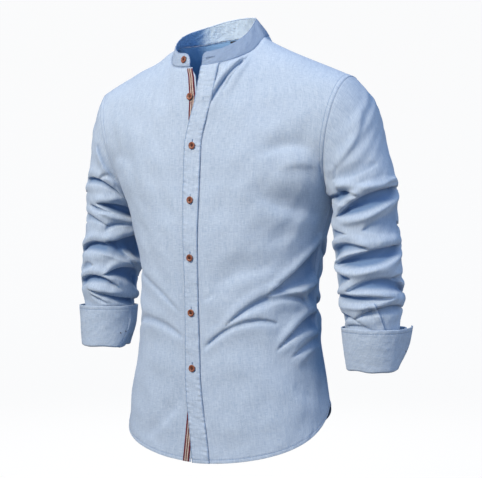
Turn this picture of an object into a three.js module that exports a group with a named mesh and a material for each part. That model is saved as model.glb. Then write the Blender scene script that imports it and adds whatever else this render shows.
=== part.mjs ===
// Mandarin collar shirt, worn on a figure that is not part of it.
// Millimetres, +Z up. The front faces -Y and the wearer's left is +X.
// The origin is inside the neck, level with the inner ends of the shoulder seams.
import * as THREE from 'three';
import { mergeVertices } from 'three/addons/utils/BufferGeometryUtils.js';

// Driving dimensions
const WALL = 1.5;                 // cloth of the panels and sleeves, with its seam allowances
const COLLAR_WALL = 2.2;
const CUFF_WALL = 2.2;
const SEAM = 0.4;                 // clear space between two sewn pieces
const LIE = 0.4;                  // clear space under a piece that lies on another
const ARMPIT_Z = -265;
const NECK = { half: 86, depth: 72, y: -31, frontDrop: 50, backRise: 13 };
const TIP = { x: 241, y: -18, z: -73 };          // outer end of the shoulder seam
const SHOULDER_SAG = 22;
const HEM = { low: -700, rise: 92, frontPower: 1.75, backPower: 1.9 };
const SIDE_ANGLE = { hem: 108, armpit: 93 };     // side seam, in degrees from the centre front
const SQUARENESS = 0.032;                        // fullness of the body sections at 45 degrees
const NECK_SHARE = 0.45;                         // share of a panel's top edge that is neck
const ARM = { x: 219, y: -6.5, z: -169, lean: 22, skew: 11.5, half: 62, height: 96, pull: 1.5 };
const PLACKET = { half: 16, proud: 1.5, wall: 1.2, underlap: 9, sink: 1.9 };
const TAPE = { half: 6, wall: 0.7 };
const COLLAR = { front: 24, sideLeft: 30, sideRight: 23, back: 33, lean: 12, leanMore: 8 };
// How far the neck sits lower on the wearer's right: the drop, and where it begins and ends across and in height
const DROP = { by: 6, inner: [10, 80], outer: [110, 200], rise: [-120, -20] };
const LABEL = { half: 23, low: 1.915, high: 1.972, wall: 0.6 };
const BUTTON = { radius: 6, height: 2.6, sunk: 0.8, sides: 14 };
const BUTTON_Z = [-100, -181, -270, -364, -454, -545];
const CUFF = { lap: 26, bend: 4, lip: 9.5, spiral: 3.5 };
const SLIT = { rows: [21, 22, 23, 24, 25], left: 2, right: 12, wall: 1.2 };

// Cuffs: centre, free upper edge and fold, radii there, place of the outer end, its turning sense and flare
const CUFFS = [
  { name: 'cuff_left', side: 1, face: 1, x: 268, y: 4, high: -475, low: -539, top: 56, bottom: 46.5, round: 0.94,
    end: -38, turn: 1, flare: 9 },
  { name: 'cuff_right', side: -1, face: 1, x: 263, y: 4, high: -457, low: -527, top: 54, bottom: 47.5, round: 0.97,
    end: 176, turn: -1, flare: 2 },
];

// Body sections: height, half width, depth in front and behind
const SECTIONS = [
  { z: -760, half: 192, front: 116, back: 116 },
  { z: -700, half: 190, front: 116, back: 116 },
  { z: -617, half: 183, front: 116, back: 115 },
  { z: -565, half: 174, front: 116, back: 113 },
  { z: -517, half: 166, front: 116, back: 110 },
  { z: -483, half: 163, front: 117, back: 107 },
  { z: -452, half: 160, front: 118, back: 105 },
  { z: -417, half: 160, front: 119, back: 106 },
  { z: -366, half: 167, front: 121, back: 111 },
  { z: -323, half: 176, front: 122, back: 117 },
  { z: -293, half: 187, front: 121, back: 120 },
  { z: -265, half: 197, front: 120, back: 121 },
  { z: -200, half: 205, front: 114, back: 121 },
];

// How far the front edges have spread at each height
const SPREAD = [
  { z: -720, left: 16, right: 15 },
  { z: -700, left: 15, right: 14 },
  { z: -650, left: 10, right: 9 },
  { z: -593, left: 3, right: 4 },
  { z: -545, left: 0, right: 0 },
  { z: -181, left: 0, right: 0 },
  { z: -140, left: 8, right: 3 },
  { z: -100, left: 18, right: 9 },
  { z: -50, left: 24, right: 17 },
  { z: -40, left: 24, right: 17 },
];

// Sleeve rings: share of the length, centre, lean of the outer side, half sizes, shift and lift of the right sleeve
const RINGS = [
  { q: 0.00, x: 219, y: -6.5, z: -169, lean: 13.0, out: 98.5, fore: 62, shift: 0, lift: 0 },
  { q: 0.10, x: 235, y: -4, z: -190, lean: 24.8, out: 85.7, fore: 61, shift: -2, lift: 0 },
  { q: 0.20, x: 245, y: -1, z: -223, lean: 40.3, out: 64.5, fore: 60, shift: -6, lift: 0 },
  { q: 0.30, x: 252, y: 1, z: -258, lean: 56.6, out: 58.1, fore: 57, shift: -6.5, lift: 0 },
  { q: 0.42, x: 253, y: 3, z: -300, lean: 80.0, out: 54, fore: 55, shift: -8, lift: 0 },
  { q: 0.56, x: 257, y: 4, z: -352, lean: 90, out: 54, fore: 54, shift: -3, lift: 0 },
  { q: 0.76, x: 264, y: 4, z: -430, lean: 90, out: 51, fore: 51, shift: -2, lift: 6 },
  { q: 0.88, x: 266, y: 4, z: -478, lean: 90, out: 44, fore: 43, shift: -3, lift: 12 },
  { q: 1.00, x: 267, y: 4, z: -540.2, lean: 90, out: 37.5, fore: 35.5, shift: -3, lift: 12 },
];

// Folds of the body: three points of the crease as panel share and height, half width, depth (a ridge is positive)
const FOLDS_LEFT = [
  { from: [0.25, -44], via: [0.19, -70], to: [0.116, -99], width: 8, depth: -4 },
  { from: [0.42, -196], via: [0.58, -184], to: [0.83, -187], width: 11, depth: -4 },
  { from: [0.54, -217], via: [0.68, -212], to: [0.9, -214], width: 10, depth: 3.5 },
  { from: [0.40, -262], via: [0.60, -284], to: [0.98, -292], width: 22, depth: -7 },
  { from: [0.42, -349], via: [0.53, -330], to: [0.68, -325], width: 20, depth: -4 },
  { from: [0.14, -411], via: [0.34, -383], to: [0.63, -376], width: 18, depth: -5 },
  { from: [0.5, -421], via: [0.71, -388], to: [1.0, -341], width: 17, depth: -10 },
  { from: [0.52, -424], via: [0.72, -414], to: [1.0, -406], width: 12, depth: 6 },
  { from: [0.2, -470], via: [0.40, -436], to: [0.82, -430], width: 15, depth: -7 },
  { from: [0.2, -472], via: [0.45, -458], to: [0.96, -455], width: 13, depth: 6 },
  { from: [0.06, -514], via: [0.27, -468], to: [0.64, -473], width: 14, depth: -6 },
  { from: [0.53, -508], via: [0.68, -477], to: [1.0, -457], width: 15, depth: -6 },
  { from: [0.66, -536], via: [0.79, -516], to: [1.0, -503], width: 14, depth: -4 },
  { from: [0.58, -571], via: [0.66, -583], to: [0.8, -597], width: 18, depth: -4 },
];
const FOLDS_RIGHT = [
  { from: [0.50, -397], via: [0.28, -420], to: [0.12, -445], width: 18, depth: -5 },
  { from: [0.60, -476], via: [0.26, -470], to: [0.06, -498], width: 16, depth: -6 },
  { from: [0.9, -430], via: [0.66, -440], to: [0.42, -452], width: 15, depth: 5 },
  { from: [0.98, -345], via: [0.72, -376], to: [0.5, -388], width: 17, depth: -6 },
  { from: [0.5, -205], via: [0.68, -192], to: [0.88, -196], width: 12, depth: -4 },
  { from: [0.21, -653], via: [0.15, -621], to: [0.07, -589], width: 18, depth: -4 },
];
const FOLDS_BACK = [
  { from: [-1.0, -352], via: [-0.55, -408], to: [-0.1, -414], width: 18, depth: -8 },
  { from: [1.0, -345], via: [0.6, -392], to: [0.15, -402], width: 18, depth: -8 },
  { from: [-0.9, -418], via: [-0.3, -440], to: [0.35, -432], width: 15, depth: 6 },
  { from: [-0.45, -462], via: [0.2, -474], to: [0.95, -440], width: 17, depth: -8 },
  { from: [-1.0, -468], via: [-0.65, -494], to: [-0.2, -502], width: 15, depth: -6 },
  { from: [0.85, -480], via: [0.45, -502], to: [0.05, -496], width: 15, depth: 5 },
  { from: [-0.95, -265], via: [-0.7, -285], to: [-0.4, -280], width: 18, depth: -5 },
  { from: [0.95, -262], via: [0.68, -282], to: [0.42, -272], width: 18, depth: -5 },
];

// Folds of the sleeves: three points as degrees round from the shoulder over the front, and height
const FOLDS_SLEEVE_LEFT = [
  { from: [35, -129], via: [54, -170], to: [97, -213], width: 12, depth: 5 },
  { from: [117, -241], via: [76, -226], to: [42, -212], width: 10, depth: -5 },
  { from: [121, -244], via: [72, -263], to: [5, -233], width: 9, depth: 6 },
  { from: [99, -284], via: [56, -266], to: [-8, -250], width: 9, depth: -9 },
  { from: [111, -298], via: [54, -290], to: [-9, -256], width: 8, depth: 6 },
  { from: [134, -321], via: [112, -325], to: [70, -346], width: 10, depth: -5 },
  { from: [139, -372], via: [79, -348], to: [-4, -345], width: 8, depth: 5 },
  { from: [134, -374], via: [81, -366], to: [-20, -352], width: 9, depth: -9 },
  { from: [140, -392], via: [70, -388], to: [-30, -378], width: 11, depth: 6 },
  { from: [109, -414], via: [64, -402], to: [10, -414], width: 9, depth: -6 },
  { from: [147, -417], via: [72, -418], to: [-30, -421], width: 6, depth: 6 },
  { from: [143, -424], via: [84, -434], to: [30, -424], width: 8, depth: -8 },
  { from: [125, -434], via: [88, -447], to: [25, -431], width: 7, depth: 5 },
  { from: [100, -458], via: [63, -447], to: [15, -438], width: 8, depth: -6 },
  { from: [147, -455], via: [100, -462], to: [74, -476], width: 7, depth: -5 },
  { from: [-20, -262], via: [-80, -282], to: [-150, -290], width: 11, depth: -8 },
  { from: [-10, -300], via: [-75, -312], to: [-140, -330], width: 11, depth: 7 },
  { from: [-15, -352], via: [-70, -362], to: [-150, -378], width: 11, depth: -8 },
  { from: [-30, -395], via: [-90, -404], to: [-160, -398], width: 10, depth: 7 },
  { from: [-20, -436], via: [-85, -430], to: [-150, -440], width: 9, depth: -7 },
  { from: [190, -346], via: [170, -350], to: [140, -340], width: 10, depth: -5 },
];
const FOLDS_SLEEVE_RIGHT = [
  { from: [74, -160], via: [95, -190], to: [120, -222], width: 11, depth: 5 },
  { from: [85, -228], via: [110, -238], to: [146, -258], width: 9, depth: -7 },
  { from: [87, -264], via: [117, -268], to: [150, -257], width: 8, depth: 5 },
  { from: [70, -268], via: [143, -275], to: [184, -302], width: 9, depth: -9 },
  { from: [95, -278], via: [128, -291], to: [187, -306], width: 8, depth: 5 },
  { from: [60, -290], via: [90, -304], to: [112, -309], width: 8, depth: -6 },
  { from: [69, -342], via: [124, -340], to: [152, -324], width: 9, depth: 6 },
  { from: [50, -357], via: [115, -350], to: [186, -386], width: 9, depth: -9 },
  { from: [83, -362], via: [127, -377], to: [190, -392], width: 9, depth: 6 },
  { from: [118, -402], via: [152, -397], to: [204, -406], width: 9, depth: -7 },
  { from: [65, -404], via: [110, -407], to: [144, -423], width: 8, depth: -7 },
  { from: [78, -414], via: [121, -428], to: [150, -424], width: 7, depth: 5 },
  { from: [96, -431], via: [131, -437], to: [188, -446], width: 7, depth: -6 },
  { from: [80, -441], via: [111, -447], to: [135, -456], width: 7, depth: -5 },
  { from: [40, -250], via: [-20, -262], to: [-100, -280], width: 11, depth: -8 },
  { from: [45, -292], via: [-30, -306], to: [-110, -318], width: 11, depth: 7 },
  { from: [40, -352], via: [-30, -352], to: [-120, -372], width: 11, depth: -8 },
  { from: [40, -398], via: [-40, -392], to: [-130, -404], width: 10, depth: 7 },
  { from: [40, -436], via: [-40, -426], to: [-130, -440], width: 9, depth: -7 },
];

// Shares of the grids
const ARM_STEPS = 10;             // steps of each armhole half, shared by the panels and the sleeve
const BODY_STEPS = 18;            // steps from hem to armpit
const SLEEVE_STEPS = 30;
const FRONT_NECK_STEPS = 6;
const FRONT_SHOULDER_STEPS = 6;
const BACK_NECK_STEPS = 6;        // from centre to shoulder neck point
const COLLAR_STEPS = 3;
const CUFF_STEPS = 30;

const rad = THREE.MathUtils.degToRad;
const clamp = THREE.MathUtils.clamp;
const lerp = THREE.MathUtils.lerp;
const V = (x, y, z) => new THREE.Vector3(x, y, z);
const smooth = (x, a, b) => THREE.MathUtils.smoothstep(x, a, b);

// Cubic track through table rows, with slopes from the rows on each side
function track(rows, key, name, at) {
  const x = clamp(at, rows[0][key], rows[rows.length - 1][key]);
  let k = 0;
  while (k < rows.length - 2 && x > rows[k + 1][key]) k += 1;
  const slope = (i) => {
    const a = rows[Math.max(i - 1, 0)];
    const b = rows[Math.min(i + 1, rows.length - 1)];
    return (b[name] - a[name]) / (b[key] - a[key]);
  };
  const h = rows[k + 1][key] - rows[k][key];
  const u = (x - rows[k][key]) / h;
  return rows[k][name] * (2 * u ** 3 - 3 * u ** 2 + 1) + slope(k) * h * (u ** 3 - 2 * u ** 2 + u)
    + rows[k + 1][name] * (3 * u ** 2 - 2 * u ** 3) + slope(k + 1) * h * (u ** 3 - u ** 2);
}

// A point of the body section at a height, t in degrees from the centre front to the centre back
function section(z, t) {
  const s = Math.sin(rad(t));
  const c = Math.cos(rad(t));
  const full = 1 + SQUARENESS * Math.sin(rad(2 * t)) ** 2;
  const half = track(SECTIONS, 'z', 'half', z);
  const depth = track(SECTIONS, 'z', c > 0 ? 'front' : 'back', z);
  return V(half * s * full, -depth * c * full, z);
}

const sideAngle = (z) => lerp(SIDE_ANGLE.armpit, SIDE_ANGLE.hem, (ARMPIT_Z - z) / (ARMPIT_Z - HEM.low));
const hemHeight = (s, front) => HEM.low + HEM.rise * Math.abs(s) ** (front ? HEM.frontPower : HEM.backPower);

// Top edge of a panel: the neck curve, then the shoulder seam
function topEdge(a, front) {
  if (a <= NECK_SHARE) {
    const r = rad(90 * a / NECK_SHARE);
    const c = Math.max(Math.cos(r), 0);
    const x = NECK.half * Math.sin(r);
    if (front) return V(x, NECK.y - NECK.depth * c, -NECK.frontDrop * c ** 0.75);
    return V(x, NECK.y + NECK.depth * c, NECK.backRise * c ** 0.8);
  }
  const r = (a - NECK_SHARE) / (1 - NECK_SHARE);
  const p = V(NECK.half, NECK.y, 0).lerp(V(TIP.x, TIP.y, TIP.z), r);
  p.z -= SHOULDER_SAG * r * Math.max(1 - r, 0) ** 2.2;
  return p;
}

// Armhole seam, in degrees from the shoulder tip over the front
function armhole(phi) {
  const c = Math.cos(rad(phi));
  const s = Math.sin(rad(phi));
  return V(ARM.x + ARM.lean * c - 2 * s, ARM.y - ARM.skew * c - ARM.half * s, ARM.z + ARM.height * c);
}

function hermite(p0, d0, p1, d1, v) {
  return p0.clone().multiplyScalar(2 * v ** 3 - 3 * v ** 2 + 1)
    .addScaledVector(d0, v ** 3 - 2 * v ** 2 + v)
    .addScaledVector(p1, 3 * v ** 2 - 2 * v ** 3)
    .addScaledVector(d1, v ** 3 - v ** 2);
}

// Upper body between the armpit level and the top edge
function upper(a, v, front) {
  const t = front ? a * SIDE_ANGLE.armpit : 180 - a * (180 - SIDE_ANGLE.armpit);
  const p0 = section(ARMPIT_Z, t);
  const d0 = p0.clone().sub(section(ARMPIT_Z - 4, t)).multiplyScalar(52.5);
  const over = smooth(a, 0.15, NECK_SHARE + 0.05);
  const sign = front ? 1 : -1;
  const d1 = V(0, sign * 35, 100).lerp(V(0, sign * (front ? 130 : 95), front ? 0 : 20), over);
  return hermite(p0, d0, topEdge(a, front), d1, v);
}

// Body surface: s runs from the centre line (0) to the side seam (1), w from the hem (0)
// over the armpit level (1) to the top edge (2)
function body(s, w, front) {
  const a = Math.abs(s);
  let p;
  if (w <= 1) {
    const z = lerp(hemHeight(a, front), ARMPIT_Z, w);
    const side = sideAngle(z);
    p = section(z, front ? a * side : 180 - a * (180 - side));
  } else {
    const v = w - 1;
    const phi = front ? 180 * (1 - v) : 180 + 180 * v;
    p = upper(a, v, front).addScaledVector(armhole(phi).sub(upper(1, v, front)), Math.min(a, 1.2) ** ARM.pull);
  }
  const hip = 1 + 0.03 * smooth(-p.z, 420, 680);
  if (s < 0) p.x *= -hip;
  return p;
}

// Signed distance from a crease's curve and the share along it, both in the cloth's own millimetres
function nearCrease(fold, a, z, across) {
  let best = { d: Infinity, t: 0 };
  const steps = 14;
  for (let i = 0; i <= steps; i += 1) {
    const t = i / steps;
    const k = [(1 - t) ** 2, 2 * t * (1 - t), t ** 2];
    const qa = k[0] * fold.from[0] + k[1] * (2 * fold.via[0] - 0.5 * (fold.from[0] + fold.to[0])) + k[2] * fold.to[0];
    const qz = k[0] * fold.from[1] + k[1] * (2 * fold.via[1] - 0.5 * (fold.from[1] + fold.to[1])) + k[2] * fold.to[1];
    const d = Math.hypot((a - qa) * across, z - qz);
    if (d < best.d) best = { d, t };
  }
  return best;
}

// Sum of the folds at a place of the cloth; across is the millimetres in one unit of a
function foldDepth(folds, a, z, across) {
  let sum = 0;
  for (const fold of folds) {
    const near = nearCrease(fold, a, z, across);
    if (near.d < 2.5 * fold.width) {
      const along = 0.35 + 0.65 * Math.sin(Math.PI * near.t);
      sum += fold.depth * along * Math.exp(-((near.d / fold.width) ** 2));
    }
  }
  return sum;
}

// Unit normal by differences, turned by the given sign
function normalOf(surface, u, v, sign) {
  const e = 0.004;
  const du = surface(u + e, v).sub(surface(u - e, v));
  const dv = surface(u, v + e).sub(surface(u, v - e));
  return du.cross(dv).normalize().multiplyScalar(sign);
}

const bodyMillimetres = (w) => lerp(lerp(345, 320, clamp(w, 0, 1)), 300, clamp(w - 1, 0, 1));
const levelOf = (w) => body(0, w, true).z;
const spreadAt = (w, name) => track(SPREAD, 'z', name, levelOf(w)) / bodyMillimetres(w);

// Share s of a front panel's column c; its edge lies a number of millimetres past the centre line
function frontShare(c, w, edge, name) {
  const sign = name === 'left' ? 1 : -1;
  const start = edge / bodyMillimetres(w) + sign * spreadAt(w, name);
  if (c <= NECK_SHARE) return lerp(start, NECK_SHARE, c / NECK_SHARE);
  return c;
}

// Surface with its folds; the folds fade out at the seams
function foldedBody(s, w, front, folds, sink = 0) {
  const p = body(s, w, front);
  const a = Math.abs(s);
  const clear = front ? smooth(a * bodyMillimetres(w), 14, 44) : 1;
  const fade = clear * smooth(1 - a, 0, 0.06) * smooth(w, 0, 0.06) * smooth(2 - w, 0, 0.08);
  const n = normalOf((x, y) => body(x, y, front), s, Math.min(w, 1.99), front ? 1 : -1);
  const d = folds.length ? foldDepth(folds, front ? Math.abs(s) : s, p.z, bodyMillimetres(w)) * fade : 0;
  return p.addScaledVector(n, d - sink);
}

// The neck's lower side: a point of the wearer's right half goes down
function dropped(p) {
  if (p.x > 0) return p;
  const across = smooth(-p.x, ...DROP.inner) * (1 - smooth(-p.x, ...DROP.outer));
  p.z -= DROP.by * across * smooth(p.z, ...DROP.rise);
  return p;
}

const underPlacket = (s, w) => {
  const mm = s * bodyMillimetres(w);
  return PLACKET.sink * (1 - smooth(mm, PLACKET.half + 4, 2.6 * PLACKET.half));
};

// Sleeve surface: phi in degrees from the shoulder over the front, q from the armhole (0) to the end (1)
function sleeve(phi, q, right) {
  const g = (name) => track(RINGS, 'q', name, q);
  const lean = rad(g('lean'));
  const c = Math.cos(rad(phi));
  const s = Math.sin(rad(phi));
  const first = RINGS[0];
  const p = V(g('x') + (right ? g('shift') : 0), g('y'), g('z') + (right ? g('lift') : 0));
  p.add(V(Math.sin(lean) * g('out') * c, -g('fore') * s, Math.cos(lean) * g('out') * c));
  const seam = armhole(phi).sub(V(
    first.x + Math.sin(rad(first.lean)) * first.out * c,
    first.y - first.fore * s,
    first.z + Math.cos(rad(first.lean)) * first.out * c,
  ));
  return p.addScaledVector(seam, 1 - smooth(q, 0, 0.1));
}

function foldedSleeve(phi, q, right, folds) {
  const p = sleeve(phi, q, right);
  const n = normalOf((x, y) => sleeve(x * 100, y, right), phi / 100, clamp(q, 0.01, 0.99), 1);
  const turned = phi > 215 ? phi - 360 : phi;
  const fade = smooth(q, 0.01, 0.1) * smooth(0.88 - q, 0, 0.06);
  let d = foldDepth(folds, turned, p.z, 0.93);
  d += foldDepth(folds, turned + 360, p.z, 0.93) + foldDepth(folds, turned - 360, p.z, 0.93);
  return p.addScaledVector(n, d * fade);
}

// Closed wall from two grids of points, outer and inner; both have rows of equal length
function wallBetween(outer, inner, round = false) {
  const rows = outer.length;
  const cols = outer[0].length;
  const flat = [...outer.flat(), ...inner.flat()];
  const half = rows * cols;
  const index = [];
  const at = (i, j, side) => side * half + i * cols + (j % cols);
  const quad = (a, b, c, d) => index.push(a, b, c, a, c, d);
  // Edge faces meet in a middle point, so that both sides of a seam are alike
  const fan = (a, b, c, d) => {
    const middle = V(0, 0, 0);
    [a, b, c, d].forEach((k) => middle.addScaledVector(flat[k], 0.25));
    const m = flat.push(middle) - 1;
    index.push(a, b, m, b, c, m, c, d, m, d, a, m);
  };
  const last = round ? cols : cols - 1;
  for (let i = 0; i < rows - 1; i += 1) {
    for (let j = 0; j < last; j += 1) {
      quad(at(i, j, 0), at(i, j + 1, 0), at(i + 1, j + 1, 0), at(i + 1, j, 0));
      quad(at(i, j, 1), at(i + 1, j, 1), at(i + 1, j + 1, 1), at(i, j + 1, 1));
    }
  }
  for (let j = 0; j < last; j += 1) {
    fan(at(0, j, 0), at(0, j, 1), at(0, j + 1, 1), at(0, j + 1, 0));
    fan(at(rows - 1, j, 0), at(rows - 1, j + 1, 0), at(rows - 1, j + 1, 1), at(rows - 1, j, 1));
  }
  if (!round) {
    for (let i = 0; i < rows - 1; i += 1) {
      fan(at(i, 0, 0), at(i + 1, 0, 0), at(i + 1, 0, 1), at(i, 0, 1));
      fan(at(i, cols - 1, 0), at(i, cols - 1, 1), at(i + 1, cols - 1, 1), at(i + 1, cols - 1, 0));
    }
  }
  const geometry = new THREE.BufferGeometry();
  geometry.setAttribute('position', new THREE.Float32BufferAttribute(flat.flatMap((p) => p.toArray()), 3));
  geometry.setIndex(index);
  return facingOut(geometry);
}

// Turns the faces of a closed geometry outwards if its volume comes out negative
function facingOut(geometry) {
  const p = geometry.getAttribute('position');
  const index = geometry.getIndex().array;
  const corner = (i) => new THREE.Vector3().fromBufferAttribute(p, index[i]);
  let volume = 0;
  for (let i = 0; i < index.length; i += 3) volume += corner(i).dot(corner(i + 1).cross(corner(i + 2)));
  if (volume < 0) {
    for (let i = 0; i < index.length; i += 3) [index[i], index[i + 1]] = [index[i + 1], index[i]];
  }
  geometry.computeVertexNormals();
  return geometry;
}

const group = new THREE.Group();
const COLOURS = { cloth: 0x9fb4d2, inside: 0x8ba3c6, tape: 0x6e4a4f, label: 0x101014, button: 0x9a5a3c };

function addMesh(name, geometry, colour, roughness = 0.9) {
  const material = new THREE.MeshStandardMaterial({ color: colour, roughness, metalness: 0 });
  const mesh = new THREE.Mesh(geometry, material);
  mesh.name = name;
  group.add(mesh);
  return mesh;
}

// Wall directions at the points of a grid: differences inside, one-sided at the edges
function gridNormals(grid, round, toward) {
  return grid.map((row, i) => row.map((p, j) => {
    const n = row.length;
    const left = round ? row[(j + n - 1) % n] : row[Math.max(j - 1, 0)];
    const right = round ? row[(j + 1) % n] : row[Math.min(j + 1, n - 1)];
    const down = grid[Math.max(i - 1, 0)][j];
    const up = grid[Math.min(i + 1, grid.length - 1)][j];
    return right.clone().sub(left).cross(up.clone().sub(down)).normalize().multiplyScalar(toward);
  }));
}

// Grids of the outer surfaces
const bodyRows = [];
for (let i = 0; i <= BODY_STEPS; i += 1) bodyRows.push(i / BODY_STEPS);
for (let i = 1; i <= ARM_STEPS; i += 1) bodyRows.push(1 + i / ARM_STEPS);
const frontColumns = [];
for (let j = 0; j <= FRONT_NECK_STEPS; j += 1) frontColumns.push(NECK_SHARE * j / FRONT_NECK_STEPS);
for (let j = 1; j <= FRONT_SHOULDER_STEPS; j += 1) {
  frontColumns.push(NECK_SHARE + (1 - NECK_SHARE) * j / FRONT_SHOULDER_STEPS);
}
const labelShare = LABEL.half / 300;
const backHalf = [0, labelShare];
for (let j = 2; j <= BACK_NECK_STEPS; j += 1) {
  backHalf.push(lerp(labelShare, NECK_SHARE, (j - 1) / (BACK_NECK_STEPS - 1)));
}
for (let j = 1; j <= FRONT_SHOULDER_STEPS; j += 1) {
  backHalf.push(NECK_SHARE + (1 - NECK_SHARE) * j / FRONT_SHOULDER_STEPS);
}
const backColumns = [...backHalf.slice(1).reverse().map((s) => -s), ...backHalf];

const mirror = (p) => V(-p.x, p.y, p.z);
const leftGrid = bodyRows.map((w) => frontColumns.map((c) => (
  foldedBody(frontShare(c, w, PLACKET.half + 0.3, 'left'), w, true, FOLDS_LEFT)
)));
// The right front is made on the mirrored side, with its underlap columns first
const rightEdges = [-PLACKET.underlap, -TAPE.half, TAPE.half];
const rightGrid = bodyRows.map((w) => [
  ...rightEdges.map((mm) => mm / bodyMillimetres(w) + spreadAt(w, 'right')),
  ...frontColumns.map((c) => lerpShare(c, w)),
].map((s) => rightPoint(s, w)));

function lerpShare(c, w) {
  const start = PLACKET.half / bodyMillimetres(w) + spreadAt(w, 'right');
  return c <= NECK_SHARE ? lerp(start, NECK_SHARE, c / NECK_SHARE) : c;
}

function rightPoint(s, w) {
  const p = foldedBody(s, w, true, FOLDS_RIGHT, underPlacket(s - spreadAt(w, 'right'), w));
  const hip = 1 + 0.03 * smooth(-p.z, 420, 680);
  return dropped(V(-p.x * (s > 0 ? hip : 1), p.y, p.z));
}

const backGrid = bodyRows.map((w) => backColumns.map((s) => dropped(foldedBody(s, w, false, FOLDS_BACK))));

// Rows are wider apart near the armhole, where the underarm is short
const armSteps = 2 * ARM_STEPS;
const CAP_ROWS = 4;
const CAP_SHARE = 0.21;
function sleeveRow(i) {
  if (i <= CAP_ROWS) return CAP_SHARE * i / CAP_ROWS;
  return lerp(CAP_SHARE, 1, (i - CAP_ROWS) / (SLEEVE_STEPS - CAP_ROWS));
}

function sleeveGrid(right, folds) {
  const rows = [];
  for (let i = 0; i <= SLEEVE_STEPS; i += 1) {
    const row = [];
    for (let j = 0; j < armSteps; j += 1) {
      row.push(foldedSleeve(360 * j / armSteps, sleeveRow(i), right, folds));
    }
    rows.push(right ? row.map(mirror) : row);
  }
  return rows;
}

// A piece is its outer grid and the directions its wall faces
const makePiece = (grid, toward, round = false) => ({ grid, round, normals: gridNormals(grid, round, toward) });
const left = makePiece(leftGrid, 1);
const right = makePiece(rightGrid, -1);
const back = makePiece(backGrid, -1);
const sleeveLeft = makePiece(sleeveGrid(false, FOLDS_SLEEVE_LEFT), 1, true);
const sleeveRight = makePiece(sleeveGrid(true, FOLDS_SLEEVE_RIGHT), -1, true);

// Stand collar: its lower row lies on the neck edges of the panels
const top = bodyRows.length - 1;
const centre = backHalf.length - 1;
const neckMm = (mm) => mm / bodyMillimetres(2);
const leftStart = -PLACKET.half / bodyMillimetres(2) + spreadAt(2, 'left');
const endRound = [0, 2.5, 8];
const collarBase = [];
const rightEnd = rightGrid[top][1].clone().lerp(rightGrid[top][2], 0.5);
collarBase.push({ p: rightEnd, cut: 7 }, { p: rightEnd.clone().lerp(rightGrid[top][2], 0.5), cut: 2 });
for (let j = 2; j <= 3 + FRONT_NECK_STEPS; j += 1) collarBase.push({ p: rightGrid[top][j], cut: 0 });
for (let j = centre - BACK_NECK_STEPS + 1; j <= centre + BACK_NECK_STEPS; j += 1) {
  collarBase.push({ p: backGrid[top][j], cut: 0 });
}
for (let j = FRONT_NECK_STEPS - 1; j >= 0; j -= 1) collarBase.push({ p: leftGrid[top][j], cut: 0 });
collarBase.push({ p: body(leftStart + neckMm(16), 2, true), cut: 0 });
[...endRound].reverse().forEach((mm) => {
  const radius = endRound[2];
  const cut = radius * (1 - Math.sqrt(1 - (1 - mm / radius) ** 2));
  collarBase.push({ p: body(leftStart + neckMm(mm), 2, true), cut });
});

function collarGrid() {
  const rows = [];
  for (let k = 0; k <= COLLAR_STEPS; k += 1) {
    rows.push(collarBase.map(({ p, cut }) => {
      const out = V(p.x / NECK.half ** 2, (p.y - NECK.y) / NECK.depth ** 2, 0).normalize();
      const side = Math.abs(out.x);
      const atSide = out.x < 0 ? COLLAR.sideRight : COLLAR.sideLeft;
      const tall = lerp(out.y < 0 ? COLLAR.front : COLLAR.back, atSide, side ** 2) - cut;
      const lean = (COLLAR.lean + COLLAR.leanMore * (0.857 * out.x + 0.515 * out.y)) * (tall / COLLAR.sideLeft);
      const share = k / COLLAR_STEPS;
      return p.clone().addScaledVector(out, -lean * share ** 1.2).add(V(0, 0, tall * share));
    }));
  }
  return rows;
}
const collar = makePiece(collarGrid(), -1);

// Moves the points where pieces meet apart and gives their walls one direction
function join(members) {
  const into = members.map(({ piece, i, j, steps }) => {
    const from = piece.grid[i][j];
    const sum = V(0, 0, 0);
    for (const [di, dj] of steps) sum.add(piece.grid[i + di][j + dj].clone().sub(from).normalize());
    if (members.length > 2) return sum.normalize();
    const [di, dj] = steps[0];
    const cols = piece.grid[0].length;
    const next = di ? piece.grid[i][(j + 1) % cols] : piece.grid[i + 1][j];
    const square = piece.normals[i][j].clone().cross(next.clone().sub(from)).normalize();
    return square.multiplyScalar(Math.sign(square.dot(sum)));
  });
  const wall = V(0, 0, 0);
  // At a corner the two panels count as one side and the sleeve or collar, which comes last, as the other
  members.forEach(({ piece, i, j }, m) => wall.addScaledVector(piece.normals[i][j], m === 2 ? 2 : 1));
  wall.normalize();
  return members.map(({ piece, i, j }, m) => {
    const others = V(0, 0, 0);
    into.forEach((d, k) => {
      if (k !== m) others.addScaledVector(d, 1 / (members.length - 1));
    });
    const off = into[m].clone().sub(others).normalize().multiplyScalar(members.length > 2 ? 1.1 * SEAM : 0.5 * SEAM);
    return { piece, i, j, p: piece.grid[i][j].clone().add(off), wall };
  });
}

function joinAll(seams) {
  const moved = seams.flatMap(join);
  for (const { piece, i, j, p, wall } of moved) {
    piece.grid[i][j] = p;
    piece.normals[i][j] = wall;
  }
}

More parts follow.
